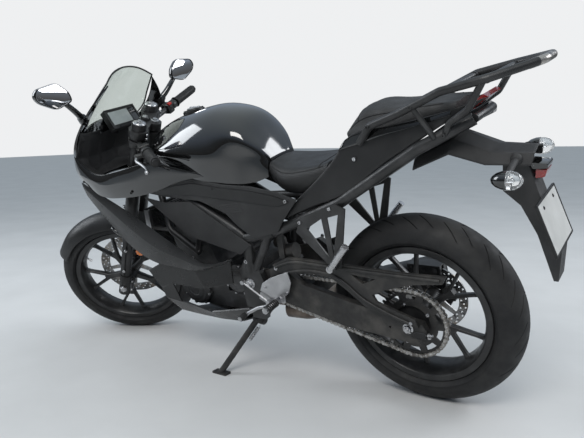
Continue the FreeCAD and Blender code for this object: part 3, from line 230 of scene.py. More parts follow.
def curve(points, steps):
    """Smooth line through points, with steps pieces in each span."""
    points = [Vector(p) for p in points]
    slopes = []
    for index, point in enumerate(points):
        if 0 < index < len(points) - 1:
            before = max((point - points[index - 1]).length, 1e-6)
            after = max((points[index + 1] - point).length, 1e-6)
            slope = ((point - points[index - 1]) / before * after + (points[index + 1] - point) / after * before)
            slopes.append(slope / (before + after))
        else:
            slopes.append(None)
    slopes[0] = (points[1] - points[0]) / max((points[1] - points[0]).length, 1e-6) * 1.5 - slopes[1] * 0.5
    slopes[-1] = (points[-1] - points[-2]) / max((points[-1] - points[-2]).length, 1e-6) * 1.5 - slopes[-2] * 0.5
    line = [points[0]]
    for a, b, at_a, at_b in zip(points, points[1:], slopes, slopes[1:]):
        span = (b - a).length
        for index in range(1, steps + 1):
            t = index / steps
            line.append(a * (2 * t ** 3 - 3 * t ** 2 + 1) + at_a * span * (t ** 3 - 2 * t ** 2 + t)
                        + b * (3 * t ** 2 - 2 * t ** 3) + at_b * span * (t ** 3 - t ** 2))
    return line


def refined(rows, along, down):
    fine = [curve(row, along) for row in rows]
    columns = [curve(column, down) for column in zip(*fine)]
    return [list(row) for row in zip(*columns)]


def on_side(point, side):
    """A point of the left side, or its mirror image where side is -1."""
    return Vector((point[0], point[1] * side, point[2]))


def flipped(row):
    """A row mirrored to the other side, from its end to its start."""
    return [on_side(p, -1) for p in reversed(row)]


def across(row):
    """A row from the centre line to the left, completed to the right."""
    row = [Vector(p) for p in row]
    return flipped(row[1:]) + row


def round_axle(radius, angle, y=0):
    """Point at a radius and an angle round a wheel's axle."""
    return Vector((radius * math.cos(angle), y, radius * math.sin(angle)))


def aside(y):
    return Vector((0, y, 0))


def turns(count):
    """Angles of count equal steps round a circle."""
    return [2 * math.pi * index / count for index in range(count)]


def ring(middle, side, other, radius, count):
    """Circle round a middle, spanned by two directions."""
    return [middle + (side * math.cos(a) + other * math.sin(a)) * radius for a in turns(count)]


class Piece:
    """Collects faces in millimetres of the upright bike, then becomes one object on a body."""

    def __init__(self):
        self.mesh = bmesh.new()

    def grid(self, rows, closed=False):
        rows = [[self.mesh.verts.new(p) for p in row] for row in rows]
        wide = len(rows[0])
        for upper, lower in zip(rows, rows[1:]):
            for index in range(wide if closed else wide - 1):
                other = (index + 1) % wide
                self.mesh.faces.new((upper[index], upper[other], lower[other], lower[index]))
        return rows

    def loft(self, rows):
        """Closed body round open rows: their two ends are joined, and the first and last row are capped."""
        made = self.grid(rows, closed=True)
        self.mesh.faces.new(made[0])
        self.mesh.faces.new(made[-1])

    def lathe(self, start, end, table, segments=24):
        """Turned body from start to end; table holds (share of the way, radius)."""
        start, end = Vector(start), Vector(end)
        run = end - start
        side = run.orthogonal().normalized()
        other = run.normalized().cross(side)
        self.loft([ring(start + run * share, side, other, radius, segments) for share, radius in table])

    def drum(self, spot, run, table, segments=24):
        """Turned body that starts at a spot and ends a run further."""
        self.lathe(spot, Vector(spot) + run, table, segments)

    def rod(self, start, end, radius):
        self.lathe(start, end, ((0, radius * 0.92), (0.001, radius), (0.999, radius), (1, radius * 0.92)), 20)

    def tube(self, line, radius, segments=14):
        """Tube along a line of points; radius is one number or one per point."""
        line = [Vector(p) for p in line]
        radii = radius if hasattr(radius, "__len__") else [radius] * len(line)
        side = (line[1] - line[0]).orthogonal().normalized()
        rows = []
        for index, point in enumerate(line):
            run = (line[min(index + 1, len(line) - 1)] - line[max(index - 1, 0)]).normalized()
            side = (side - run * side.dot(run)).normalized()
            rows.append(ring(point, side, run.cross(side), radii[index], segments))
        self.loft(rows)

    def prism(self, outline, low, high, chamfer):
        """Side view outline (x, z) as a plate from y = low to y = high with a small chamfer."""
        count = len(outline)
        middle = Vector((sum(p[0] for p in outline) / count, 0, sum(p[1] for p in outline) / count))

        def row(y, shrink):
            return [Vector((x, y, z)) - (Vector((x, 0, z)) - middle).normalized() * shrink for x, z in outline]

        self.loft([row(low, chamfer), row(low + chamfer, 0), row(high - chamfer, 0), row(high, chamfer)])

    def block(self, centre, size, turn=None):
        """Small box with softened edges."""
        turn = turn or Matrix.Identity(3)
        x, y, z = (value / 2 for value in size)
        soft = min(x, y, z) * 0.25
        self.loft([[Vector(centre) + turn @ Vector((sx * (x - inset), sy * (y - inset), height))
                    for sx, sy in ((1, 1), (-1, 1), (-1, -1), (1, -1))]
                   for height, inset in ((-z, soft), (-z + soft, 0), (z - soft, 0), (z, soft))])

    def bolt(self, spot, axis, radius, high=4.0):
        """Socket head: a low drum with a round recess."""
        table = ((0, radius), (0.7, radius), (1, radius * 0.85), (1, radius * 0.5), (0.4, radius * 0.45))
        self.drum(spot, Vector(axis).normalized() * high, table, 14)

    def nut(self, spot, axis, radius, high=8.0):
        """Hexagon with the end of its thread."""
        spot, axis = Vector(spot), Vector(axis).normalized()
        self.drum(spot, axis * high, ((0, radius), (0.85, radius), (1, radius * 0.9)), 6)
        self.lathe(spot + axis * high * 0.9, spot + axis * (high + 4), ((0, radius * 0.55), (1, radius * 0.5)), 16)

    def object(self, name, place, look, smooth=40):
        bmesh.ops.recalc_face_normals(self.mesh, faces=self.mesh.faces)
        mesh = bpy.data.meshes.new(name)
        self.mesh.to_mesh(mesh)
        self.mesh.free()
        mesh.transform(place)
        obj = bpy.data.objects.new(name, mesh)
        bpy.context.scene.collection.objects.link(obj)
        mesh.materials.append(look)
        smooth_below(mesh, smooth)
        return obj

    def place(self, name, slot, look=None, body="chassis", smooth=40, node=None):
        """Makes the object on its body, with the look of its slot unless one is given, for a node if one is named."""
        obj = self.object(name, PLACES[body], look or SLOT_LOOKS[slot], smooth)
        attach(obj, body)
        if node:
            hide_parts(node)
        return obj


def smooth_below(mesh, degrees):
    mesh.shade_smooth()
    mesh.set_sharp_from_angle(angle=math.radians(degrees))


def solidify(obj, depth, offset=-1.0):
    """Gives a sheet its depth: inwards, or outwards where offset is 1."""
    solid = obj.modifiers.new("thickness", "SOLIDIFY")
    solid.thickness = depth
    solid.offset = offset


def apply_modifiers(obj):
    """Replaces an object's mesh by what its modifiers make of it."""
    bpy.context.view_layer.update()
    graph = bpy.context.evaluated_depsgraph_get()
    mesh = bpy.data.meshes.new_from_object(obj.evaluated_get(graph))
    obj.modifiers.clear()
    obj.data = mesh


def carve(obj, cutter):
    """Takes a cutter's shape out of an object, and removes the cutter."""
    cut = obj.modifiers.new("cut", "BOOLEAN")
    cut.object = cutter
    cut.solver = "EXACT"
    apply_modifiers(obj)
    bpy.data.objects.remove(cutter)


# Bodywork

def panel(name, node, slot, rows, depth=SHELL, steps=(6, 6), mirror=False, smooth=40, body="chassis"):
    """Sheet of a given depth through rows of points, on both sides where it mirrors."""
    piece = Piece()
    piece.grid(refined(rows, *steps))
    if mirror:
        piece.grid(refined([flipped(row) for row in rows], *steps))
    obj = piece.place(name, slot, body=body, smooth=smooth)
    solidify(obj, depth)
    soften(obj, EDGE, SHEET_ANGLE)
    if node:
        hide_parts(node)


NOSE_ROWS = [
    [(640, 0, 972), (628, 80, 962), (592, 126, 958), (535, 142, 1000), (425, 112, 1108)],
    [(692, 0, 925), (672, 82, 916), (632, 150, 908), (578, 184, 942), (493, 198, 1005)],
    [(745, 0, 872), (715, 85, 868), (662, 150, 866), (626, 188, 868), (586, 207.6, 872)],
    [(735, 0, 812), (712, 85, 800), (676, 150, 790), (625, 195, 796), (570, 216.6, 806)],
    [(672, 0, 742), (660, 80, 738), (632, 145, 731), (590, 182, 730), (556, 197.4, 730)],
]
SCREEN_ROWS = [
    [(440, 0, 1160), (437, 56, 1150), (426, 114, 1113)],
    [(540, 0, 1085), (533, 72, 1072), (497, 134, 1049)],
    [(604, 0, 1020), (594, 78, 1008), (546, 145, 1000)],
    [(651.5, 0, 966.5), (639, 81, 956.5), (603, 129, 953.5)],
]
LAMP_WINDOW = ((52, 850), (150, 856), (186, 842), (150, 806), (60, 812))


def lamp_cutter():
    cutter = Piece()
    for side in SIDES:
        cutter.loft([[Vector((x, y * side, z)) for y, z in LAMP_WINDOW] for x in (580, 800)])
    return cutter.object("lamp_cutter", BIKE, GLOSS)


def nose():
    piece = Piece()
    piece.grid(refined([across(row) for row in NOSE_ROWS], 6, 6))
    obj = piece.place("nose_shell", "nose_gloss")
    solidify(obj, NOSE_DEPTH)
    apply_modifiers(obj)
    carve(obj, lamp_cutter())
    smooth_below(obj.data, 42)
    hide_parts("front_cowl")


def bodywork():
    nose()
    panel("side_fairings", "side_cowls", "cowl_gloss", [
        [(592, 212, 868), (509, 222, 812), (454, 226, 800), (363, 226, 812), (261, 220, 832), (190, 212, 846),
         (75, 192, 818), (-9, 166.8, 792)],
        [(575, 222, 800), (500, 230, 780), (440, 234, 765), (363, 232, 770), (261, 226, 780), (190, 216, 790),
         (75, 194, 800), (-12, 166.6, 788)],
        [(529, 224, 757), (487, 224, 722), (432, 222, 710), (363, 220, 712), (288, 214, 718), (200, 206, 735),
         (75, 190, 772), (-18, 166.4, 784)],
    ], COVER, (6, 1), mirror=True, smooth=12)
    panel("screen", "windscreen", "screen_smoke", [across(row) for row in SCREEN_ROWS], steps=(8, 8))
    rim = Piece()
    side = curve([row[-1] for row in SCREEN_ROWS], 8)
    rim.tube(flipped(side) + curve(across(SCREEN_ROWS[0]), 8)[1:-1] + side, 3.2, 8)
    rim.place("screen_rim", "screen_smoke", PANEL)
    panel("lower_blades", "blades", "blade_satin", [
        [(607, 200, 760), (476, 208, 706), (346, 214, 650), (232, 219, 592), (117, 222, 534), (17, 220, 486),
         (-101, 204, 508)],
        [(600, 203, 742), (462, 216, 660), (344, 223, 586), (236, 228, 530), (126, 229, 500), (22, 223, 474),
         (-100, 205, 505)],
        [(592, 200, 706), (470, 208, 584), (362, 213, 500), (262, 216, 462), (172, 216, 456), (84, 214, 449),
         (-99, 202, 500)],
    ], COVER, (5, 1), mirror=True, smooth=14)
    panel("tail_panels", "tail_covers", "tail_gloss", [
        [(-378, 140, 722), (-517, 120, 851), (-543, 116, 886), (-700, 104, 923), (-872, 84, 958), (-935, 62, 975)],
        [(-338, 147, 682), (-474, 135, 772), (-528, 130, 804), (-692, 117, 880), (-850, 94, 937), (-915, 68, 960)],
        [(-300, 148, 640), (-426, 144, 692), (-508, 140, 720), (-683, 124, 834), (-827, 100, 914), (-895, 70, 944)],
    ], COVER, mirror=True)


def tank():
    table = (
        # x, top z, shoulder y, shoulder z, waist y, waist z, foot y, foot z
        (316, 908, 34, 896, 48, 872, 40, 846),
        (268, 930, 84, 900, 112, 868, 92, 832),
        (204, 956, 118, 905, 158, 866, 138, 808),
        (86, 984, 140, 918, 172, 860, 156, 776),
        (-40, 994, 138, 922, 168, 850, 157.6, 750),
        (-140, 962, 122, 905, 132, 840, 146, 748),
        (-190, 890, 96, 872, 106, 830, 118, 752),
        (-228, 822, 60, 818, 76, 800, 86, 764),
    )
    rows = [across([(x, 0, top), (x, shoulder * 0.55, shoulder_z + (top - shoulder_z) * 0.78),
                    (x, shoulder, shoulder_z), (x, waist, waist_z), (x, foot, foot_z)])
            for x, top, shoulder, shoulder_z, waist, waist_z, foot, foot_z in table]
    piece = Piece()
    piece.loft(refined(rows, 6, 8))
    piece.place("tank_shell", "tank_gloss", smooth=50, node="fuel_tank")
    cap = Piece()
    cap.lathe((128, 0, 968), (131, 0, 986), ((0, 40), (0.7, 40), (0.8, 37), (1.0, 36), (1.0, 26), (0.94, 25)), 40)
    cap.place("filler_ring", "tank_gloss", PANEL)
    lid = Piece()
    lid.lathe((128, 0, 983), (129, 0, 991), ((0, 25), (0.7, 25), (1, 22)), 36)
    lid.block((132, 0, 991), (26, 9, 5))
    lid.place("filler_lid", "lever_metal", BARE)


def cushion(name, node, slot, table, seams):
    """Seat cushion with welts along both edges of its crown and across it at the seams."""
    rows = [across([(x, 0, top), (x, half * 0.6, top - 4), (x, half * 0.92, edge_z + (top - edge_z) * 0.5),
                    (x, half, edge_z), (x, low_half, low_z)])
            for x, top, half, edge_z, low_half, low_z in table]
    fine = refined(rows, 6, 10)
    piece = Piece()
    piece.loft(fine)
    obj = piece.place(name, slot, smooth=60, node=node)
    welt = Piece()
    wide = len(fine[0])
    crown = 9
    for column in (crown, wide - 1 - crown):
        welt.tube([row[column] + Vector((0, 0, 0.4)) for row in fine[2:-2]], 1.5, 8)
    for share in seams:
        row = fine[round(share * (len(fine) - 1))]
        welt.tube([p + Vector((0, 0, 0.3)) for p in row[crown:wide - crown]], 1.4, 8)
    welt.place(name + "_seams", slot, CORD)


def seats():
    cushion("rider_cushion", "rider_seat", "seat_vinyl", (
        (-232, 815, 84, 798, 80, 760),
        (-317, 806, 128, 780, 122, 728.2),
        (-400, 810, 130, 790, 120, 728.2),
        (-470, 822, 118, 806, 112, 752),
    ), (0.86,))
    cushion("pillion_cushion", "pillion_seat", "pillion_vinyl", (
        (-532, 905, 80, 898, 76, 882),
        (-590, 968, 96, 926, 108.1, 890),
        (-700, 972, 97, 950, 99.7, 912),
        (-860, 972, 76, 968, 81.1, 946),
    ), (0.28,))


def mudguard():
    radius = FRONT_RADIUS + 21
    rows = [across([FRONT_AXLE + round_axle(1, math.radians(degrees)) * (radius - drop) + aside(y)
                    for y, drop in ((0, 0), (36, 12), (67.7, 50))])
            for degrees in (34, 55, 76, 97, 118, 140)]
    panel("front_fender", "front_mudguard", "mudguard_black", rows, body="steering")


# Wheels

def tyre(name, node, body, radius, half, rim_half):
    """Rounded tyre with slanted tread grooves, sidewall ridge and bead."""
    pitches = 30
    groove_depth = 4.0
    columns = (0.0, 0.22, 0.42, 0.455, 0.475, 0.535, 0.555, 0.59, 0.8)
    groove_columns = (4, 5)
    bead_side = rim_half - 6.3
    wall_foot, bead_out, bead_in = 230.5, 229.3, 217
    profile = [(math.radians(a), radius - half + half * math.cos(math.radians(a)), half * math.sin(math.radians(a)))
               for a in range(0, 81, 4)]
    _, end_radius, end_side = profile[-1]
    for down, out in ((0.2, 0.98), (0.42, 0.9), (0.5, 0.905), (0.56, 0.84), (0.8, 0.62), (1.0, 0.12)):
        profile.append((None, end_radius + (wall_foot - end_radius) * down,
                        bead_side + (end_side - bead_side) * out))
    profile += [(None, bead_out, bead_side), (None, bead_in, bead_side)]
    columns_round = [((pitch + share) / pitches * 2 * math.pi, index in groove_columns, pitch % 2)
                     for pitch in range(pitches) for index, share in enumerate(columns)]
    rows = []
    for slope, r, y in [(None if a is None else -a, r, -y) for a, r, y in reversed(profile[1:])] + profile:
        tread = slope is not None
        lean = abs(slope) * 0.24 + slope * 0.075 if tread else 0.0
        row = []
        for turn, groove, odd in columns_round:
            low, high = (8, 37) if odd else (14, 50)
            cut = groove and tread and low <= math.degrees(abs(slope)) <= high
            row.append(round_axle(r - (groove_depth if cut else 0.0), turn + lean, y))
        rows.append(row)
    piece = Piece()
    piece.grid(rows, closed=True)
    piece.place(name, "tyre", body=body, smooth=32, node=node)


def carved_copy(node, name, slot, body, cutter):
    """A scene piece on a body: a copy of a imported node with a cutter's shape taken out."""
    obj = bpy.data.objects.new(name, NODES[node].data.copy())
    bpy.context.scene.collection.objects.link(obj)
    obj.data.materials.clear()
    obj.data.materials.append(SLOT_LOOKS[slot])
    weld(obj)
    apply_modifiers(obj)
    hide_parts(node)
    carve(obj, cutter.object("cutter", PLACES[body], SLOT_LOOKS[slot]))
    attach(obj, body)


def drilled_disc(node, name, body, radius, side, rings, count):
    """Brake disc with rings of small holes, at shares of its radius."""
    cutter = Piece()
    for ring_index, share in enumerate(rings):
        for index in range(count):
            spot = round_axle(radius * share, 2 * math.pi * (index + ring_index * 0.37) / count, side)
            cutter.lathe(spot - aside(9), spot + aside(9), ((0, 3.6), (1, 3.6)), 10)
    carved_copy(node, name, "disc_steel", body, cutter)


def squared(value, corner=0.55):
    """Sine or cosine bent towards the corners of a square."""
    return math.copysign(abs(value) ** corner, value)


def rounded_bar(piece, sections):
    """Bar through sections (centre, direction across, width across, depth along the wheel's axle)."""
    angles = [2 * math.pi * (index + 0.5) / 12 for index in range(12)]
    piece.loft([[centre + way * (squared(math.cos(a)) * wide / 2) + aside(squared(math.sin(a)) * deep / 2)
                 for a in angles] for centre, way, wide, deep in sections])


def turned(piece, profile, segments=72):
    """Closed profile (radius, side) turned about the axle."""
    piece.grid([[round_axle(radius, a, y) for a in turns(segments)] for radius, y in profile + profile[:1]],
               closed=True)


def spoked_rim(name, node, body, half, hub_ends):
    """Barrel, hub and five arms that each split in two legs before the rim."""
    piece = Piece()
    turned(piece, [(209.7, -half), (227.5, -half), (229, -half + 1.5), (229, -half + 4.5), (227.5, -half + 6),
                   (215.7, -half + 7), (213, -half + 16), (206, -half + 30), (206, half - 30), (213, half - 16),
                   (215.7, half - 7), (227.5, half - 6), (229, half - 4.5), (229, half - 1.5), (227.5, half),
                   (209.7, half), (206, half - 4), (203, half - 16), (197, half - 30), (197, -half + 30),
                   (203, -half + 16), (206, -half + 4)])
    right, left, flange = hub_ends
    bore = 8.1
    turned(piece, [(bore, right), (30, right), (32, right + 3), (33, right + 20), (30, 0), (33, left - 30),
                   (32, left - 9), (flange, left - 8), (flange, left - 1), (flange - 1, left), (bore, left)], 48)
    reach = 200
    split = reach * 0.54
    for at in turns(5):
        out = round_axle(1, at)
        over = Vector((-math.sin(at), 0, math.cos(at)))
        rounded_bar(piece, [(out * 24, over, 30, 30), (out * 40, over, 25, 28), (out * 70, over, 21, 26),
                            (out * (split - 8), over, 21, 24), (out * (split + 10), over, 22, 22)])
        for sign in SIDES:
            spread = math.radians(14.5) * sign
            end = out * math.cos(spread) * reach + over * math.sin(spread) * reach
            start = out * (split - 14) + over * (4 * sign)
            run = (end - start).normalized()
            side = Vector((-run.z, 0, run.x))
            rounded_bar(piece, [(start.lerp(end, share), side, wide, deep) for share, wide, deep in
                                ((0, 13, 24), (0.3, 12.5, 22), (0.75, 11.5, 20), (0.93, 14, 21), (1, 22, 26))])
    bmesh.ops.remove_doubles(piece.mesh, verts=piece.mesh.verts, dist=0.01)
    piece.place(name, "wheel_black", body=body, smooth=42, node=node)


def wheels():
    tyre("front_tyre_tread", "front_tyre", "front_wheel", FRONT_RADIUS, 55, FRONT_RIM_HALF)
    tyre("rear_tyre_tread", "rear_tyre", "rear_wheel", REAR_RADIUS, 70, REAR_RIM_HALF)
    drilled_disc("front_disc", "front_disc_drilled", "front_wheel", 149, FRONT_DISC_SIDE, (0.79, 0.86, 0.93), 26)
    drilled_disc("rear_disc", "rear_disc_drilled", "rear_wheel", 110, REAR_DISC_SIDE, (0.8, 0.88, 0.945), 20)
    for body, disc_side in (("front_wheel", FRONT_DISC_SIDE), ("rear_wheel", REAR_DISC_SIDE)):
        bolts = Piece()
        for angle in turns(5):
            bolts.bolt(round_axle(29.5, angle, disc_side - 2.6), (0, -1, 0), 5, 5)
        out = round_axle(1, math.radians(36))
        bolts.lathe(out * 208 + aside(6), out * 172 + aside(16),
                    ((0, 5), (0.2, 4.4), (0.7, 4), (0.72, 5), (1, 4.6)), 12)
        bolts.place(body + "_bolts", "axle_steel", STEEL, body=body)
    spoked_rim("front_wheel_rim", "front_rim", "front_wheel", FRONT_RIM_HALF, (-59.5, 62, 25.6))
    spoked_rim("rear_wheel_rim", "rear_rim", "rear_wheel", REAR_RIM_HALF, (-75.5, 99, 72))


# Final drive

PITCH = 15.875
FRONT_TEETH, REAR_TEETH = 14, 43
CHAIN_LINE = 102
FRONT_SPROCKET = Vector((-38, 0, 392))


def pitch_radius(teeth):
    return PITCH / 2 / math.sin(math.pi / teeth)


def chain_pins():
    """Pin places round both sprockets."""
    big, small = pitch_radius(REAR_TEETH), pitch_radius(FRONT_TEETH)
    line = REAR_AXLE - FRONT_SPROCKET
    along = math.atan2(line.z, line.x)
    lean = math.acos((small - big) / line.length)
    run = math.sqrt(line.length ** 2 - (big - small) ** 2)
    rear_arc = 2 * lean
    front_arc = 2 * math.pi - rear_arc
    total = 2 * run + rear_arc * big + front_arc * small
    count = 2 * round(total / PITCH / 2)
    upper, lower = round_axle(1, along + lean), round_axle(1, along - lean)
    pins = []
    for index in range(count):
        way = index * (total / count)
        if way < run:
            pins.append((FRONT_SPROCKET + upper * small).lerp(REAR_AXLE + upper * big, way / run))
            continue
        way -= run
        if way < rear_arc * big:
            pins.append(REAR_AXLE + round_axle(1, along + lean - way / big) * big)
            continue
        way -= rear_arc * big
        if way < run:
            pins.append((REAR_AXLE + lower * big).lerp(FRONT_SPROCKET + lower * small, way / run))
            continue
        pins.append(FRONT_SPROCKET + round_axle(1, along - lean - (way - run) / small) * small)
    return pins


def link_outline(a, b, radius):
    """Waisted plate round two pins, as points (x, z)."""
    run = (b - a).normalized()
    side = Vector((-run.z, 0, run.x))
    outline = []
    for centre, sign in ((b, 1), (a, -1)):
        for angle in (-80, -40, 0, 40, 80):
            out = run * sign * math.cos(math.radians(angle)) + side * sign * math.sin(math.radians(angle))
            p = centre + out * radius
            outline.append((p.x, p.z))
        middle = (a + b) / 2 + side * sign * radius * 0.66
        outline.append((middle.x, middle.z))
    return outline


def final_drive():
    """Chain of links round both sprockets, and the rear sprocket with its slots and nuts."""
    pins = chain_pins()
    plates, rollers = Piece(), Piece()
    for index, (a, b) in enumerate(zip(pins, pins[1:] + pins[:1])):
        inner, outer = ((4.6, 6.1) if index % 2 else (6.3, 7.8))
        for side in SIDES:
            low, high = sorted((CHAIN_LINE + side * inner, CHAIN_LINE + side * outer))
            plates.prism(link_outline(a, b, 7.0), low, high, 0.25)
        middle = a + aside(CHAIN_LINE)
        rollers.lathe(middle - aside(4.5), middle + aside(4.5), ((0, 4.9), (1, 4.9)), 12)
        rollers.lathe(middle - aside(8.6), middle + aside(8.6), ((0, 2.2), (0.03, 2.6), (0.97, 2.6), (1, 2.2)), 8)
    plates.place("chain_links", "chain_steel", smooth=30, node="chain")
    rollers.place("chain_rollers", "chain_steel", STEEL)
    cutter = Piece()
    slots, slot_reach = 10, 12
    for index in range(slots):
        middle = 360 / slots * (index + 0.5)
        arc = [(point.x, point.z) for radius, degrees in ((96, (-12, -4, 4, 12)), (80, (10, 3, -3, -10)))
               for point in (round_axle(radius, math.radians(middle + turn)) for turn in degrees)]
        cutter.prism(arc, CHAIN_LINE - slot_reach, CHAIN_LINE + slot_reach, 0.1)
    carved_copy("sprocket", "sprocket_plate", "sprocket_steel", "rear_wheel", cutter)
    bolts = Piece()
    for angle in turns(5):
        bolts.nut(round_axle(65, angle, CHAIN_LINE + 3), (0, 1, 0), 6.5, 6)
    bolts.place("sprocket_nuts", "sprocket_steel", STEEL, body="rear_wheel")


# Rounded outlines

def rounded(outline, radius, steps):
    """Closed outline of (a, b) corners with each corner rounded."""
    made = []
    count = len(outline)
    for index, corner in enumerate(outline):
        corner = Vector(corner)
        before = Vector(outline[index - 1]) - corner
        after = Vector(outline[(index + 1) % count]) - corner
        reach = min(radius, before.length * 0.45, after.length * 0.45)
        start = corner + before.normalized() * reach
        end = corner + after.normalized() * reach
        for step in range(steps + 1):
            t = step / steps
            made.append(tuple(start * (1 - t) ** 2 + corner * (2 * t * (1 - t)) + end * t ** 2))
    return made


# Mirrors, instruments and lamps

MIRROR_MIDDLE = (459, 322, 1106)
MIRROR_OUTLINE = ((74, 12), (58, 36), (-26, 46), (-66, 10), (-75, -28), (-4, -46), (58, -14))


def mirror_rows(side, table):
    """Rows round the mirror's middle; table holds (growth, millimetres forward)."""
    x, across_y, up_z = MIRROR_MIDDLE
    rows = [[Vector((x + forward, across_y + y * grow, up_z + z * grow)) for y, z in rounded(MIRROR_OUTLINE, 16, 5)]
            for grow, forward in table]
    return rows if side == 1 else [flipped(row) for row in rows]


def mirrors():
    """Shells on tapering stems, with their feet and glasses."""
    shell, glass = Piece(), Piece()
    for side in SIDES:
        shell.loft(mirror_rows(side, ((0.9, 1.5), (0.93, -2), (0.985, -1.5), (1.0, 2), (0.99, 10), (0.92, 20),
                                      (0.76, 29), (0.5, 34))))
        glass.loft(mirror_rows(side, ((0.905, 0.8), (0.905, -0.6), (0.88, -1.0))))
        stem = [on_side(p, side) for p in curve([(500, 196, 1003), (486, 222, 1027), (476, 262, 1066),
                                                 (474, 300, 1098)], 6)]
        count = len(stem)
        shell.tube(stem, [13.5 - 5.5 * (index / (count - 1)) for index in range(count)], 16)
        shell.lathe((508, 186 * side, 992), (490, 210 * side, 1016), ((0, 15), (0.2, 18.5), (0.8, 17), (1, 13.5)), 20)
        shell.bolt((497, 214 * side, 1008), (0, side, 0.3), 5, 4)
    shell.place("mirror_shells", "mirror_black", GLOSS, smooth=50, node="mirrors")
    glass.place("mirror_plates", "mirror_glass", smooth=30, node="mirror_glasses")


def instruments():
    """Bezel, pale display, warning lights and buttons on the clock's face."""
    middle = Vector((514, 0, 974))
    turn = Matrix.Rotation(math.radians(30), 3, "Y")

    def on_face(left, up, out):
        return middle + turn @ Vector((-out, left, up))

    bezel, display, dark = Piece(), Piece(), Piece()
    for y, z, wide, high in ((0, 39, 150, 6), (0, -39, 150, 6), (72, 0, 6, 84), (-72, 0, 6, 84)):
        bezel.block(on_face(y, z, 1.5), (5, wide, high), turn)
    for y in (-40, 40):
        bezel.bolt(on_face(y, -35, 3.5), turn @ Vector((-1, 0, 0)), 5, 3)
    display.block(on_face(14, 2, 1), (2.4, 96, 56), turn)
    dark.block(on_face(-53, 2, 0.8), (2.2, 26, 56), turn)
    for z in (22, 12, 2, -8, -18):
        dark.lathe(on_face(-50, z, 1.5), on_face(-50, z, 3), ((0, 2.4), (1, 2)), 12)
    bezel.place("dash_bezel", "dash_black", PANEL)
    display.place("dash_display", "dash_black", DISPLAY)
    dark.place("dash_lights", "dash_black", GLOSS)


def lamp_insides():
    """Reflector bowls and a bulb behind each headlamp lens."""
    bowls, bulbs = Piece(), Piece()
    for side in SIDES:
        for y, z, radius in ((92, 834, 24), (142, 834, 19)):
            front = Vector((664 - abs(y) * 0.12, y * side, z))
            back = front - Vector((30, 0, 0))
            bowls.lathe(back, front, ((0, radius * 0.3), (0.35, radius * 0.72), (1, radius), (1, radius * 0.94),
                                      (0.4, radius * 0.62), (0.1, radius * 0.2)), 24)
            bulbs.lathe(back + Vector((6, 0, 0)), back + Vector((20, 0, 0)), ((0, 5), (0.7, 5), (1, 2.5)), 12)
    bowls.place("lamp_bowls", "lamp_clear", STEEL)
    bulbs.place("lamp_bulbs", "lamp_clear", WHITE)


# Handlebar controls

GRIP_END = Vector((264, 350, 932))
LEG_SPREAD = 95


def leg_point(along, y):
    """Point of a fork leg, along it from the axle."""
    return FRONT_AXLE + STEER_UP * along + aside(y)


BAR_ROOT = leg_point(687, LEG_SPREAD)
BAR_RUN = (GRIP_END - BAR_ROOT).normalized()
BAR_AHEAD = Vector((BAR_RUN.y, -BAR_RUN.x, 0)).normalized()
BAR_UP = BAR_AHEAD.cross(BAR_RUN)


def on_bar(at, ahead=0, up=0):
    """Point of the left bar: its place along, ahead of and above the bar."""
    return GRIP_END - BAR_RUN * at + BAR_AHEAD * ahead + BAR_UP * up


def bar_block(piece, at, ahead, up, size, side):
    """Box on the bar, with its middle measure along the bar."""
    turn = Matrix([on_side(v, side) for v in (BAR_AHEAD, BAR_RUN, BAR_UP)]).transposed()
    piece.block(on_side(on_bar(at, ahead, up), side), size, turn)


def bar_lathe(piece, start, end, table, segments, side):
    """Turned body between two points by the left bar, on either side."""
    piece.lathe(on_side(start, side), on_side(end, side), table, segments)


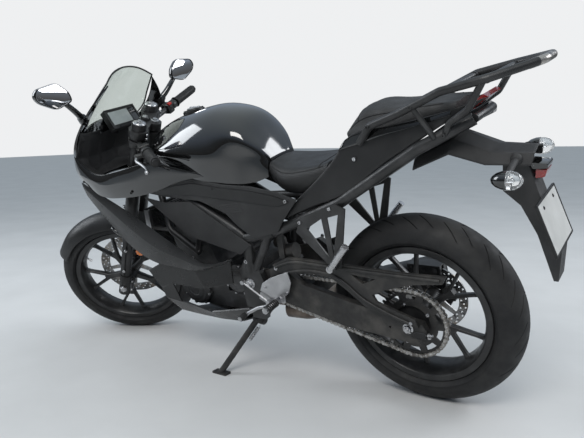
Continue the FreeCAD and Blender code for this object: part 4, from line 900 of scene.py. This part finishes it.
def controls():
    """Switch housings, grip ridges and ends on the bars; fork caps, stem nut and key switch on the clamp."""
    switches, buttons, red, steel = Piece(), Piece(), Piece(), Piece()
    switch_at, ridge_step, leg_top, crown_top = 168, 6.2, 762, 740
    for side in SIDES:
        bar_block(switches, switch_at, 0, 0, (38, 30, 42), side)
        bar_block(switches, switch_at, 20, -4, (10, 24, 30), side)
        bar_block(buttons, switch_at, -19, 8, (5, 12, 10), side)
        bar_block(buttons, switch_at, -19, -8, (5, 14, 8), side)
        end, flange = on_bar(-4), on_bar(118)
        bar_lathe(switches, end, end + BAR_RUN * 10, ((0, 12), (0.2, 13.5), (0.8, 13), (1, 9)), 20, side)
        bar_lathe(switches, flange, flange + BAR_RUN * 5, ((0, 21), (0.5, 22), (1, 20)), 24, side)
        for index in range(16):
            ridge = on_bar(10 + index * ridge_step)
            bar_lathe(switches, ridge, ridge + BAR_RUN * 3.2, ((0, 16.8), (0.2, 17.7), (0.8, 17.7), (1, 16.8)), 20,
                      side)
        head = leg_point(leg_top, LEG_SPREAD * side)
        steel.drum(head, STEER_UP * 7, ((0, 24), (0.4, 24), (0.8, 22), (1, 20)), 28)
        steel.nut(head + STEER_UP * 6, STEER_UP, 12, 5)
        for along in (717, 733):
            spot = leg_point(along, (LEG_SPREAD + 20) * side) - STEER_AHEAD * 34
            steel.bolt(spot, -STEER_AHEAD, 5, 5)
    bar_block(red, switch_at, -16, 19, (13, 16, 9), -1)
    pot = on_side(on_bar(150, 46, 14), -1)
    switches.lathe(pot - Vector((0, 0, 14)), pot + Vector((0, 0, 20)),
                   ((0, 14), (0.1, 17), (0.75, 17), (0.76, 19), (1, 19)), 28)
    crown = STEER_FOOT + STEER_UP * crown_top
    steel.nut(crown, STEER_UP, 17, 8)
    key = crown + STEER_AHEAD * 38
    switches.lathe(key - STEER_UP * 4, key + STEER_UP * 12, ((0, 19), (0.7, 19), (1, 16)), 24)
    steel.lathe(key + STEER_UP * 11, key + STEER_UP * 14, ((0, 10), (1, 9)), 20)
    switches.place("bar_switches", "bar_black", PANEL, body="steering")
    buttons.place("bar_buttons", "bar_black", GRAIN, body="steering")
    red.place("stop_switch", "bar_black", SWITCH_RED, body="steering")
    steel.place("fork_caps", "axle_steel", STEEL, body="steering")


def hand_levers():
    """Perch, bent blade and ball end of the clutch and brake levers."""
    blade, perch = Piece(), Piece()
    down = Vector((0, 0, -1))
    root = on_bar(136)
    pivot = root + BAR_AHEAD * 36 + down * 6
    stub = root - BAR_RUN * 10 + BAR_AHEAD * 34 + down * 6
    line = curve([pivot] + [pivot + BAR_RUN * along + BAR_AHEAD * ahead + down * low for along, ahead, low in
                            ((22, 10, 3), (58, 4, 8), (100, -2, 15), (130, 1, 20))], 5)
    radii = [6.5 - 2.2 * min(1, index / 12) for index in range(len(line))]
    for side in SIDES:
        bar_lathe(perch, root - BAR_RUN * 12, root + BAR_RUN * 12, ((0, 17), (0.1, 19), (0.9, 19), (1, 17)), 24, side)
        bar_block(perch, 136, 24, -4, (30, 22, 13), side)
        bar_lathe(perch, pivot + down * 9, pivot - down * 9, ((0, 9), (0.1, 10), (0.9, 10), (1, 9)), 20, side)
        bar_lathe(perch, stub, stub - BAR_RUN * 20, ((0, 7), (0.4, 7), (0.42, 5), (0.9, 5), (1, 4)), 16, side)
        blade.tube([on_side(p, side) for p in line], radii, 14)
        bar_lathe(blade, line[-1] - BAR_RUN * 8, line[-1] + BAR_RUN * 8,
                  ((0, 2), (0.1, 4.8), (0.3, 7.2), (0.5, 8), (0.7, 7.2), (0.9, 4.8), (1, 2)), 20, side)
    blade.place("lever_blades", "lever_metal", body="steering", smooth=60, node="levers")
    perch.place("lever_perches", "bar_black", FRAME_PAINT, body="steering")


# Fork and front wheel details

def fork_details():
    """Guards over the lower legs, pinch and caliper bolts, axle ends and side reflectors."""
    guards, steel, amber = Piece(), Piece(), Piece()
    fan = [math.radians(degrees) for degrees in range(-78, 79, 13)]
    for side in SIDES:
        rows = []
        for along, wide in ((58, 0.8), (70, 1.0), (150, 1.0), (222, 1.0), (236, 0.8)):
            middle = leg_point(along, LEG_SPREAD * side)
            rows.append([middle + (STEER_AHEAD * math.cos(a) + aside(math.sin(a))) * radius * wide
                         for radius, angles in ((24.5, fan), (21, fan[::-1])) for a in angles])
        guards.loft(rows)
        for low, high, table, segments in ((238, 252, ((0, 24), (0.2, 28), (0.9, 28.6), (1, 27)), 28),
                                           (-36, -30, ((0, 20), (0.6, 25), (1, 25)), 24)):
            guards.lathe(leg_point(low, LEG_SPREAD * side), leg_point(high, LEG_SPREAD * side), table, segments)
        for along in (92, 198):
            steel.bolt(leg_point(along, (LEG_SPREAD + 23) * side) + STEER_AHEAD * 6, (0, side, 0), 6.5, 5)
        for along in (-18, 26):
            steel.bolt(leg_point(along, LEG_SPREAD * side) - STEER_AHEAD * 25, -STEER_AHEAD, 5, 6)
        axle = leg_point(0, (LEG_SPREAD + 26) * side)
        steel.drum(axle, aside(7 * side), ((0, 15), (0.6, 15), (1, 13)), 6)
        steel.lathe(axle + aside(6 * side), axle + aside(9 * side), ((0, 9), (1, 8)), 20)
        spot = leg_point(196, (LEG_SPREAD + 4) * side) - STEER_AHEAD * 50
        guards.lathe(spot - aside(4 * side), spot + aside(5 * side), ((0, 19), (0.8, 19.5), (1, 18)), 24)
        amber.lathe(spot + aside(4 * side), spot + aside(8 * side), ((0, 17), (0.7, 17), (1, 14.5)), 24)
    guards.place("fork_guards", "clamp_black", PANEL, body="steering")
    steel.place("fork_bolts", "axle_steel", STEEL, body="steering")
    amber.place("side_reflectors", "lever_metal", AMBER, body="steering")


def fender_flare():
    """Raised flare over the fork leg on each side of the front fender."""
    piece = Piece()
    for side in SIDES:
        rows = []
        for along, ahead, wide, high in ((292, 92, 4, 3), (288, 78, 17, 9), (280, 50, 24, 14), (268, 22, 22, 14),
                                         (258, 0, 12, 8), (252, -12, 3, 3)):
            centre = leg_point(along - 14, 88 * side) + STEER_AHEAD * (ahead - 14)
            rows.append([centre + aside(math.cos(a) * wide) + STEER_UP * (math.sin(a) * high) for a in turns(14)])
        piece.loft(rows)
    piece.place("fender_flares", "mudguard_black", GLOSS, body="steering", smooth=60)


# Chassis details

def bolts_on_body():
    """Bolts and screws on both sides, the pivots' and axle's nuts, and the chain adjusters."""
    bright, black = Piece(), Piece()
    for target, x, y, z, radius, high in (
            (bright, -573, 129, 833, 6, 5), (bright, -332, 163.5, 708, 6, 4), (black, -40, 163.5, 742, 5, 4),
            (black, 240, 163.5, 726, 5, 4), (black, 560, 219, 770, 5, 4), (black, 300, 222, 735, 5, 4),
            (black, 60, 219, 505, 6, 4), (black, -86, 205, 500, 6, 4), (black, 500, 208, 672, 5, 4),
            (bright, -492, 137.5, 470, 7, 5), (bright, -240, 149, 466, 7, 5), (bright, -706, 149, 340, 6, 5),
            (bright, -486, 160, 690, 6, 5), (bright, -372, 160, 640, 6, 5), (bright, -120, 153, 480, 8, 6),
            (bright, -100, 153, 290, 7, 6), (bright, -280, 164, 388, 5, 4), (bright, -190, 164, 396, 5, 4)):
        for side in SIDES:
            target.bolt((x, y * side, z), (0, side, 0), radius, high)
    for side in SIDES:
        outward = (0, side, 0)
        pivot = Vector((-118, 153 * side, 396))
        bright.lathe(pivot - aside(3 * side), pivot + aside(2 * side), ((0, 19), (0.7, 19), (1, 17)), 30)
        bright.nut(pivot + aside(2 * side), outward, 13, 8)
        axle = REAR_AXLE + aside(137.5 * side)
        bright.drum(axle, aside(3 * side), ((0, 17), (0.8, 17), (1, 16)), 30)
        bright.nut(axle + aside(3 * side), outward, 13, 9)
        black.block((-722, 128 * side, 296), (46, 26, 22))
        bright.rod((-742, 128 * side, 296), (-762, 128 * side, 296), 4)
        bright.nut((-746, 128 * side, 296), (-1, 0, 0), 7, 5)
    bright.place("chassis_bolts", "axle_steel", STEEL)
    black.place("panel_screws", "bracket_black", PANEL)


def side_cover_trim():
    """Raised step and perforated patch on the grained side covers."""
    step, dots = Piece(), Piece()
    outline = rounded([(282, 716), (150, 744), (50, 758), (-90, 744), (-196, 738), (-288, 724), (-350, 706),
                       (-300, 690), (-180, 700), (-60, 708), (60, 716), (190, 712)], 10, 3)
    for side in SIDES:
        low, high = sorted((COVER_FACE * side, (COVER_FACE + 3.4) * side))
        step.prism(outline, low, high, 1.2)
        for row in range(5):
            for column in range(12):
                spot = (-150 + column * 7.5 + row * 3.7, (COVER_FACE + 0.1) * side, 668 + row * 6.5 - column * 1.1)
                dots.drum(spot, aside(0.9 * side), ((0, 1.9), (1, 1.7)), 8)
    step.place("cover_steps", "cover_satin", PANEL, smooth=30)
    dots.place("cover_patch", "cover_satin", GLOSS)


def engine_trim():
    """Cover rims with their bolts, and the radiator's fins between its side plates."""
    bolts, fins, rims = Piece(), Piece(), Piece()
    for side, x, z, radius, depth in ((1, 178, 330, 66, 26), (1, -30, 384, 56, 12), (-1, 160, 340, 76, 34),
                                      (-1, 20, 330, 50, 20)):
        at = Vector((x, side * ENGINE_HALF, z))
        lug = aside(side * (depth * 0.5 + 3))
        for angle in turns(8):
            a = angle + 0.3
            spot = at + Vector((math.cos(a) * (radius - 1), 0, math.sin(a) * (radius - 1)))
            rims.drum(spot, lug, ((0, 7), (0.9, 7), (1, 6)), 14)
            bolts.bolt(spot + lug, (0, side, 0), 4.5, 4)
        rims.drum(at + aside(side * depth), aside(side * 3),
                  ((0, radius * 0.62), (0.6, radius * 0.62), (1, radius * 0.56), (1, radius * 0.4),
                   (0.2, radius * 0.36)), 40)
    count = 30
    for index in range(count):
        share = (index + 0.5) / count
        fins.block((338.6 + 14 * share - 1.5, 0, 636 - 200 * share), (5, 262, 1.6))
    for side in SIDES:
        fins.block((350, 134 * side, 535), (24, 14, 206), Matrix.Rotation(math.radians(-4), 3, "Y"))
    bolts.place("cover_bolts", "axle_steel", STEEL)
    rims.place("cover_rims", "cover_grey", CAST)
    fins.place("radiator_fins", "radiator_black", BARE)


def chain_brace():
    """Raised ribs of the brace beside the chain, the stand's spring, the pegs' rubbers and the shift link."""
    ribs, spring, rubber, link = Piece(), Piece(), Piece(), Piece()
    for line in (((-240, 470), (-300, 494), (-420, 496), (-560, 492), (-700, 490), (-806, 490)),
                 ((-270, 452), (-390, 474), (-470, 462), (-560, 396), (-700, 340))):
        ribs.tube(curve([(x, BRACE_FACE, z) for x, z in line], 5), 4.5, 10)
    ribs.place("brace_ribs", "guard_grey", DUSTY)
    pivot, foot = Vector((-88, 112, 236)), Vector((25, 239.6, 55.9))
    down = (foot - pivot).normalized()
    start = pivot + down * 16 - down.cross(Vector((0, 1, 0))).normalized() * 20
    run = down * 90
    side_way = run.orthogonal().normalized()
    other = run.normalized().cross(side_way)
    steps = 12
    count = 14 * steps
    coil = []
    for index in range(count + 1):
        a = 2 * math.pi * index / steps
        coil.append(start + run * (0.12 + 0.6 * index / count) + (side_way * math.cos(a) + other * math.sin(a)) * 6)
    spring.tube([start] + coil + [start + run * 0.8], 1.5, 6)
    spring.place("stand_spring", "stand_black", STEEL, body="side_stand")
    for side in SIDES:
        for index in range(7):
            rubber.drum((-235, (176 + index * 8.5) * side, 351), aside(4.5 * side),
                        ((0, 12.5), (0.2, 13.5), (0.8, 13.5), (1, 12.5)), 18)
        rubber.drum((-110, 200 * side, 297), aside(30 * side), ((0, 10), (0.1, 11), (0.9, 11), (1, 9.5)), 18)
    rubber.place("peg_rubbers", "seat_vinyl", GRIP)
    ends = Vector((-200, 172, 346)), Vector((-96, 166, 404))
    link.rod(*ends, 3.6)
    for spot in ends:
        link.lathe(spot - aside(6), spot + aside(6), ((0, 8), (1, 8)), 16)
    link.place("shift_link", "pedal_steel", BARE)


def caliper_trim():
    """Bolts and pistons on both calipers."""
    front, rear = Piece(), Piece()
    front_middle, rear_middle = FRONT_AXLE + Vector((-118, 0, 58)), REAR_AXLE + Vector((20, 0, 104))
    turn = Matrix.Rotation(math.radians(-62), 4, "Y")
    for along in (-34, 0, 34):
        radius = 12 if along else 5
        for y, sign in ((-88, -1), (-36, 1)):
            for piece, spot, at in ((front, front_middle + turn @ Vector((along, 0, 22)), y),
                                    (rear, rear_middle + Vector((along, 0, 0)), y - 16)):
                piece.drum((spot.x, at, spot.z), aside(4 * sign), ((0, radius), (0.8, radius), (1, radius * 0.9)), 20)
    front.place("front_caliper_bolts", "caliper_black", CAST, body="steering")
    rear.place("rear_caliper_bolts", "caliper_black", CAST)


# Tail

def signals():
    """Housing, clear lens, reflector, bulb and stem of both rear signals."""
    housings, lenses, inside, bulbs, stems = Piece(), Piece(), Piece(), Piece(), Piece()
    back = Vector((-1, 0, 0))
    for side in SIDES:
        front = Vector((-966, 170 * side, 790))
        joint = front + back * 40
        housings.lathe(front, joint, ((0, 4), (0.12, 11), (0.35, 18), (0.7, 23), (1, 24.3), (1, 21)), 28)
        lenses.drum(joint, back * 36.5, ((0, 23.6), (0.3, 23.4), (0.6, 20.5), (0.85, 14), (1, 6)), 28)
        inside.lathe(joint - back * 2, joint + back * 1.5, ((0, 22), (1, 22.4)), 28)
        bulbs.lathe(joint + back * 2, joint + back * 16, ((0, 4), (0.6, 4.5), (1, 2)), 16)
        stem = [Vector((-1000, y * side, z)) for y, z in ((61, 812), (100, 806), (140, 796), (156, 792))]
        stems.tube(curve(stem, 4), [9.5 - 0.2 * index for index in range(13)], 14)
        stems.lathe((-1000, 58 * side, 813), (-1000, 70 * side, 811), ((0, 16), (0.6, 15), (1, 10)), 20)
    housings.place("signal_housings", "tail_black", GLOSS, node="rear_signals")
    stems.place("signal_stems", "tail_black", GRAIN)
    lenses.place("signal_lenses", "signal_clear", CLEAR)
    inside.place("signal_mirrors", "mirror_glass", STEEL)
    bulbs.place("signal_bulbs", "lever_metal", CLEAR)


def tail_lamps():
    """Lens under the seat's end, and the lower lamp in its housing."""
    lens, housing = Piece(), Piece()
    rows = []
    for share, bulge in ((0, 0.5), (0.15, 3.5), (0.5, 3.5), (0.85, 3.5), (1, 0.5)):
        middle = Vector((-896, 0, 944)).lerp(Vector((-936, 0, 975)), share)
        wide = 65 - 7.5 * share
        row = [middle + Vector((-bulge * (1 - (y / 68) ** 2) * 0.8, y, bulge * 0.2)) for y in
               (-wide, -wide * 0.92, -wide * 0.5, 0, wide * 0.5, wide * 0.92, wide)]
        rows.append(row + [p + Vector((13, 0, 7)) for p in reversed(row)])
    lens.loft(rows)
    lens.prism(rounded([(-1038, 778), (-1066, 776), (-1060, 757), (-1036, 753)], 3, 3), -28, 28, 1)
    lens.place("tail_lenses", "lamp_red", RED, smooth=30, node="tail_lamp")
    housing.prism(rounded([(-1022, 797), (-1068, 793), (-1068, 780), (-1030, 778)], 4, 3), -31, 31, 1.5)
    housing.place("lamp_housing", "tail_black", GLOSS, smooth=30)


def plate_rim():
    """Raised rim and two screws on the blank number plate."""
    top, low = Vector((-1052, 0, 700)), Vector((-1098, 0, 566))
    height = (low - top).length
    down = (low - top).normalized()
    out = Vector((down.z, 0, -down.x))
    turn = Matrix((out, Vector((0, 1, 0)), -down)).transposed()
    middle = (top + low) / 2
    rim = Piece()
    for y, share, wide, high in ((0, 0.5, 198, 6), (0, -0.5, 198, 6), (96, 0, 6, height), (-96, 0, 6, height)):
        rim.block(middle + down * height * share + aside(y) + out * 0.6, (7, wide, high), turn)
    for side in SIDES:
        rim.bolt(middle - down * height * 0.36 + aside(52 * side) + out * 1.2, out, 5, 3.5)
    rim.place("plate_rim", "tail_black", PANEL, smooth=30)


def rack_details():
    """Worn bright tip, end plugs and clamp bolts of the rack."""
    tip, bolts = Piece(), Piece()
    tip.tube(curve([(-1040, 74, 1047), (-1066, 50, 1053), (-1070, 0, 1054), (-1066, -50, 1053), (-1040, -74, 1047)],
                   6), 11.3, 18)
    for side in SIDES:
        for x, y, z in ((-634, 145, 926), (-766, 150, 974), (-836, 119, 892)):
            bolts.bolt((x, y * side, z), (0, side, 0), 6, 5)
        for x, z in ((-845, 1007), (-956, 1028)):
            bolts.lathe((x, 118 * side, z), (x, 128 * side, z), ((0, 10), (0.2, 11), (0.8, 11), (1, 10)), 20)
    bolts.place("rack_bolts", "rack_black", FRAME_PAINT)
    tip.place("rack_tip", "rack_black", WORN)


def cowl_inside():
    """Stepped shelves of the lining between the cowl's rim and the fork, and the floor ahead of it."""
    shelves = [
        [(582, 206, 848), (545, 212, 822), (505, 214, 806), (452, 214, 798), (400, 214, 803)],
        [(586, 186, 838), (550, 188, 812), (508, 190, 797), (455, 192, 790), (402, 194, 796)],
        [(588, 180, 818), (553, 180, 796), (511, 182, 783), (457, 184, 778), (404, 188, 786)],
        [(596, 150, 822), (560, 152, 800), (518, 156, 786), (462, 166, 780), (410, 178, 786)],
    ]
    steps = [
        [(560, 88, 944), (556, 140, 944), (546, 196, 952)],
        [(572, 88, 920), (566, 140, 918), (552, 198, 924)],
        [(586, 92, 916), (578, 144, 912), (560, 202, 914)],
        [(600, 96, 880), (590, 150, 876), (574, 206, 878)],
    ]
    for name, rows in (("cowl_shelves", shelves), ("cowl_steps", steps)):
        panel(name, None, "lining_black", rows, SHELL, (4, 1), mirror=True, smooth=14)
    rows = [across([(x, 0, z), (x, 80, z - 1), (x - 6, 150, z - 2)])
            for x, z in ((560, 778), (592, 786), (622, 812), (636, 866))]
    panel("cowl_floor", None, "lining_black", rows, SHELL, (4, 3), smooth=20)


def tail_trim():
    """Gloss strip along the tail's upper edge, laid on its surface."""
    rows = refined([[(-522, 124, 884), (-600, 118, 908), (-660, 114, 920), (-740, 108, 931), (-850, 96, 952)],
                    [(-516, 126, 872), (-596, 122, 894), (-660, 118, 910), (-740, 112, 922), (-850, 98, 946)],
                    [(-508, 130, 856), (-590, 126, 876), (-655, 122, 896), (-740, 114, 914), (-850, 100, 940)]],
                   6, 3)
    for name, strip in (("tail_strip_left", rows), ("tail_strip_right", [flipped(row) for row in rows])):
        piece = Piece()
        piece.grid(strip)
        obj = piece.place(name, "tail_gloss", GLOSS)
        wrap = obj.modifiers.new("wrap", "SHRINKWRAP")
        wrap.target = bpy.data.objects["tail_panels"]
        wrap.wrap_method = "NEAREST_SURFACEPOINT"
        wrap.wrap_mode = "ABOVE_SURFACE"
        wrap.offset = STRIP_DEPTH
        apply_modifiers(obj)
        solidify(obj, STRIP_DEPTH, 1.0)
        soften(obj, STRIP_EDGE, SHEET_ANGLE)


# Stage, light and camera

def softbox(name, place, target, size, power, colour):
    data = bpy.data.lights.new(name, "AREA")
    data.shape = "RECTANGLE"
    data.size, data.size_y = size
    data.energy = power
    data.color = colour
    obj = bpy.data.objects.new(name, data)
    obj.location = place
    obj.rotation_euler = (Vector(target) - obj.location).to_track_quat("-Z", "Y").to_euler()
    bpy.context.scene.collection.objects.link(obj)


def pale_floor():
    made, nodes, links = node_tree("floor_pale")
    shader = nodes["Principled BSDF"]
    where = nodes.new("ShaderNodeTexCoord").outputs["Object"]
    colour = ramp(nodes, links, noise(nodes, links, where, 2.5),
                  [(0.3, (0.56, 0.56, 0.555)), (0.7, (0.61, 0.61, 0.605))])
    links.new(colour, shader.inputs["Base Color"])
    shader.inputs["Roughness"].default_value = 0.85
    bpy.ops.mesh.primitive_plane_add(size=60)
    floor = bpy.context.object
    floor.name = "floor"
    floor.data.materials.append(made)


def studio():
    """Sky that lights from above, with a pale background where the camera or clear glass sees it."""
    world = bpy.data.worlds.new("studio")
    bpy.context.scene.world = world
    world.use_nodes = True
    nodes, links = world.node_tree.nodes, world.node_tree.links
    light = nodes["Background"]
    split = nodes.new("ShaderNodeSeparateXYZ")
    links.new(nodes.new("ShaderNodeTexCoord").outputs["Generated"], split.inputs["Vector"])
    sky = ramp(nodes, links, split.outputs["Z"], [(0.0, (0.1, 0.1, 0.1)), (0.2, (0.16, 0.18, 0.2)),
                                                  (0.45, (0.42, 0.5, 0.62)), (1.0, (0.85, 0.95, 1.0))])
    links.new(sky, light.inputs["Color"])
    light.inputs["Strength"].default_value = 0.8
    seen = nodes.new("ShaderNodeBackground")
    seen.inputs["Color"].default_value = (0.86, 0.87, 0.88, 1)
    rays = nodes.new("ShaderNodeLightPath")
    mix = nodes.new("ShaderNodeMixShader")
    either = nodes.new("ShaderNodeMath")
    either.operation = "MAXIMUM"
    links.new(rays.outputs["Is Camera Ray"], either.inputs[0])
    links.new(rays.outputs["Is Transmission Ray"], either.inputs[1])
    links.new(either.outputs["Value"], mix.inputs["Fac"])
    links.new(light.outputs["Background"], mix.inputs[1])
    links.new(seen.outputs["Background"], mix.inputs[2])
    links.new(mix.outputs["Shader"], nodes["World Output"].inputs["Surface"])

    softbox("key", (-1.5, 3.6, 4.2), (0, 0, 0.6), (3.0, 1.6), 150, (1.0, 0.98, 0.95))
    softbox("front", (3.6, 1.6, 2.6), (0.2, 0, 0.6), (1.6, 2.4), 70, (0.92, 0.96, 1.0))
    softbox("back", (-3.4, -2.6, 3.0), (-0.2, 0, 0.6), (2.4, 1.8), 90, (0.95, 0.97, 1.0))
    bpy.context.scene.view_settings.view_transform = "Standard"


def camera():
    """The photograph's camera, from the fit on both wheels."""
    yaw, pitch, roll = (math.radians(value) for value in (-55.089, 7.964, -1.333))
    ahead = Vector((math.cos(pitch) * math.cos(yaw), math.cos(pitch) * math.sin(yaw), -math.sin(pitch)))
    right = ahead.cross(Vector((0, 0, 1))).normalized()
    up = right.cross(ahead)
    turned_right = right * math.cos(roll) + up * math.sin(roll)
    turned_up = up * math.cos(roll) - right * math.sin(roll)
    data = bpy.data.cameras.new("photo")
    data.sensor_width = 36
    data.lens = 37.11
    obj = bpy.data.objects.new("photo", data)
    turn = Matrix((turned_right, turned_up, -ahead)).transposed().to_4x4()
    obj.matrix_world = Matrix.Translation((-1.32697, 1.59422, 0.85811)) @ turn
    bpy.context.scene.collection.objects.link(obj)
    bpy.context.scene.camera = obj


for build in (dress_nodes, bodywork, tank, seats, mudguard, wheels, final_drive, mirrors, instruments, lamp_insides,
              controls, fork_details, bolts_on_body, side_cover_trim, engine_trim, chain_brace, caliper_trim, signals,
              tail_lamps, plate_rim, rack_details, hand_levers, cowl_inside, tail_trim, fender_flare, pale_floor,
              studio, camera):
    build()
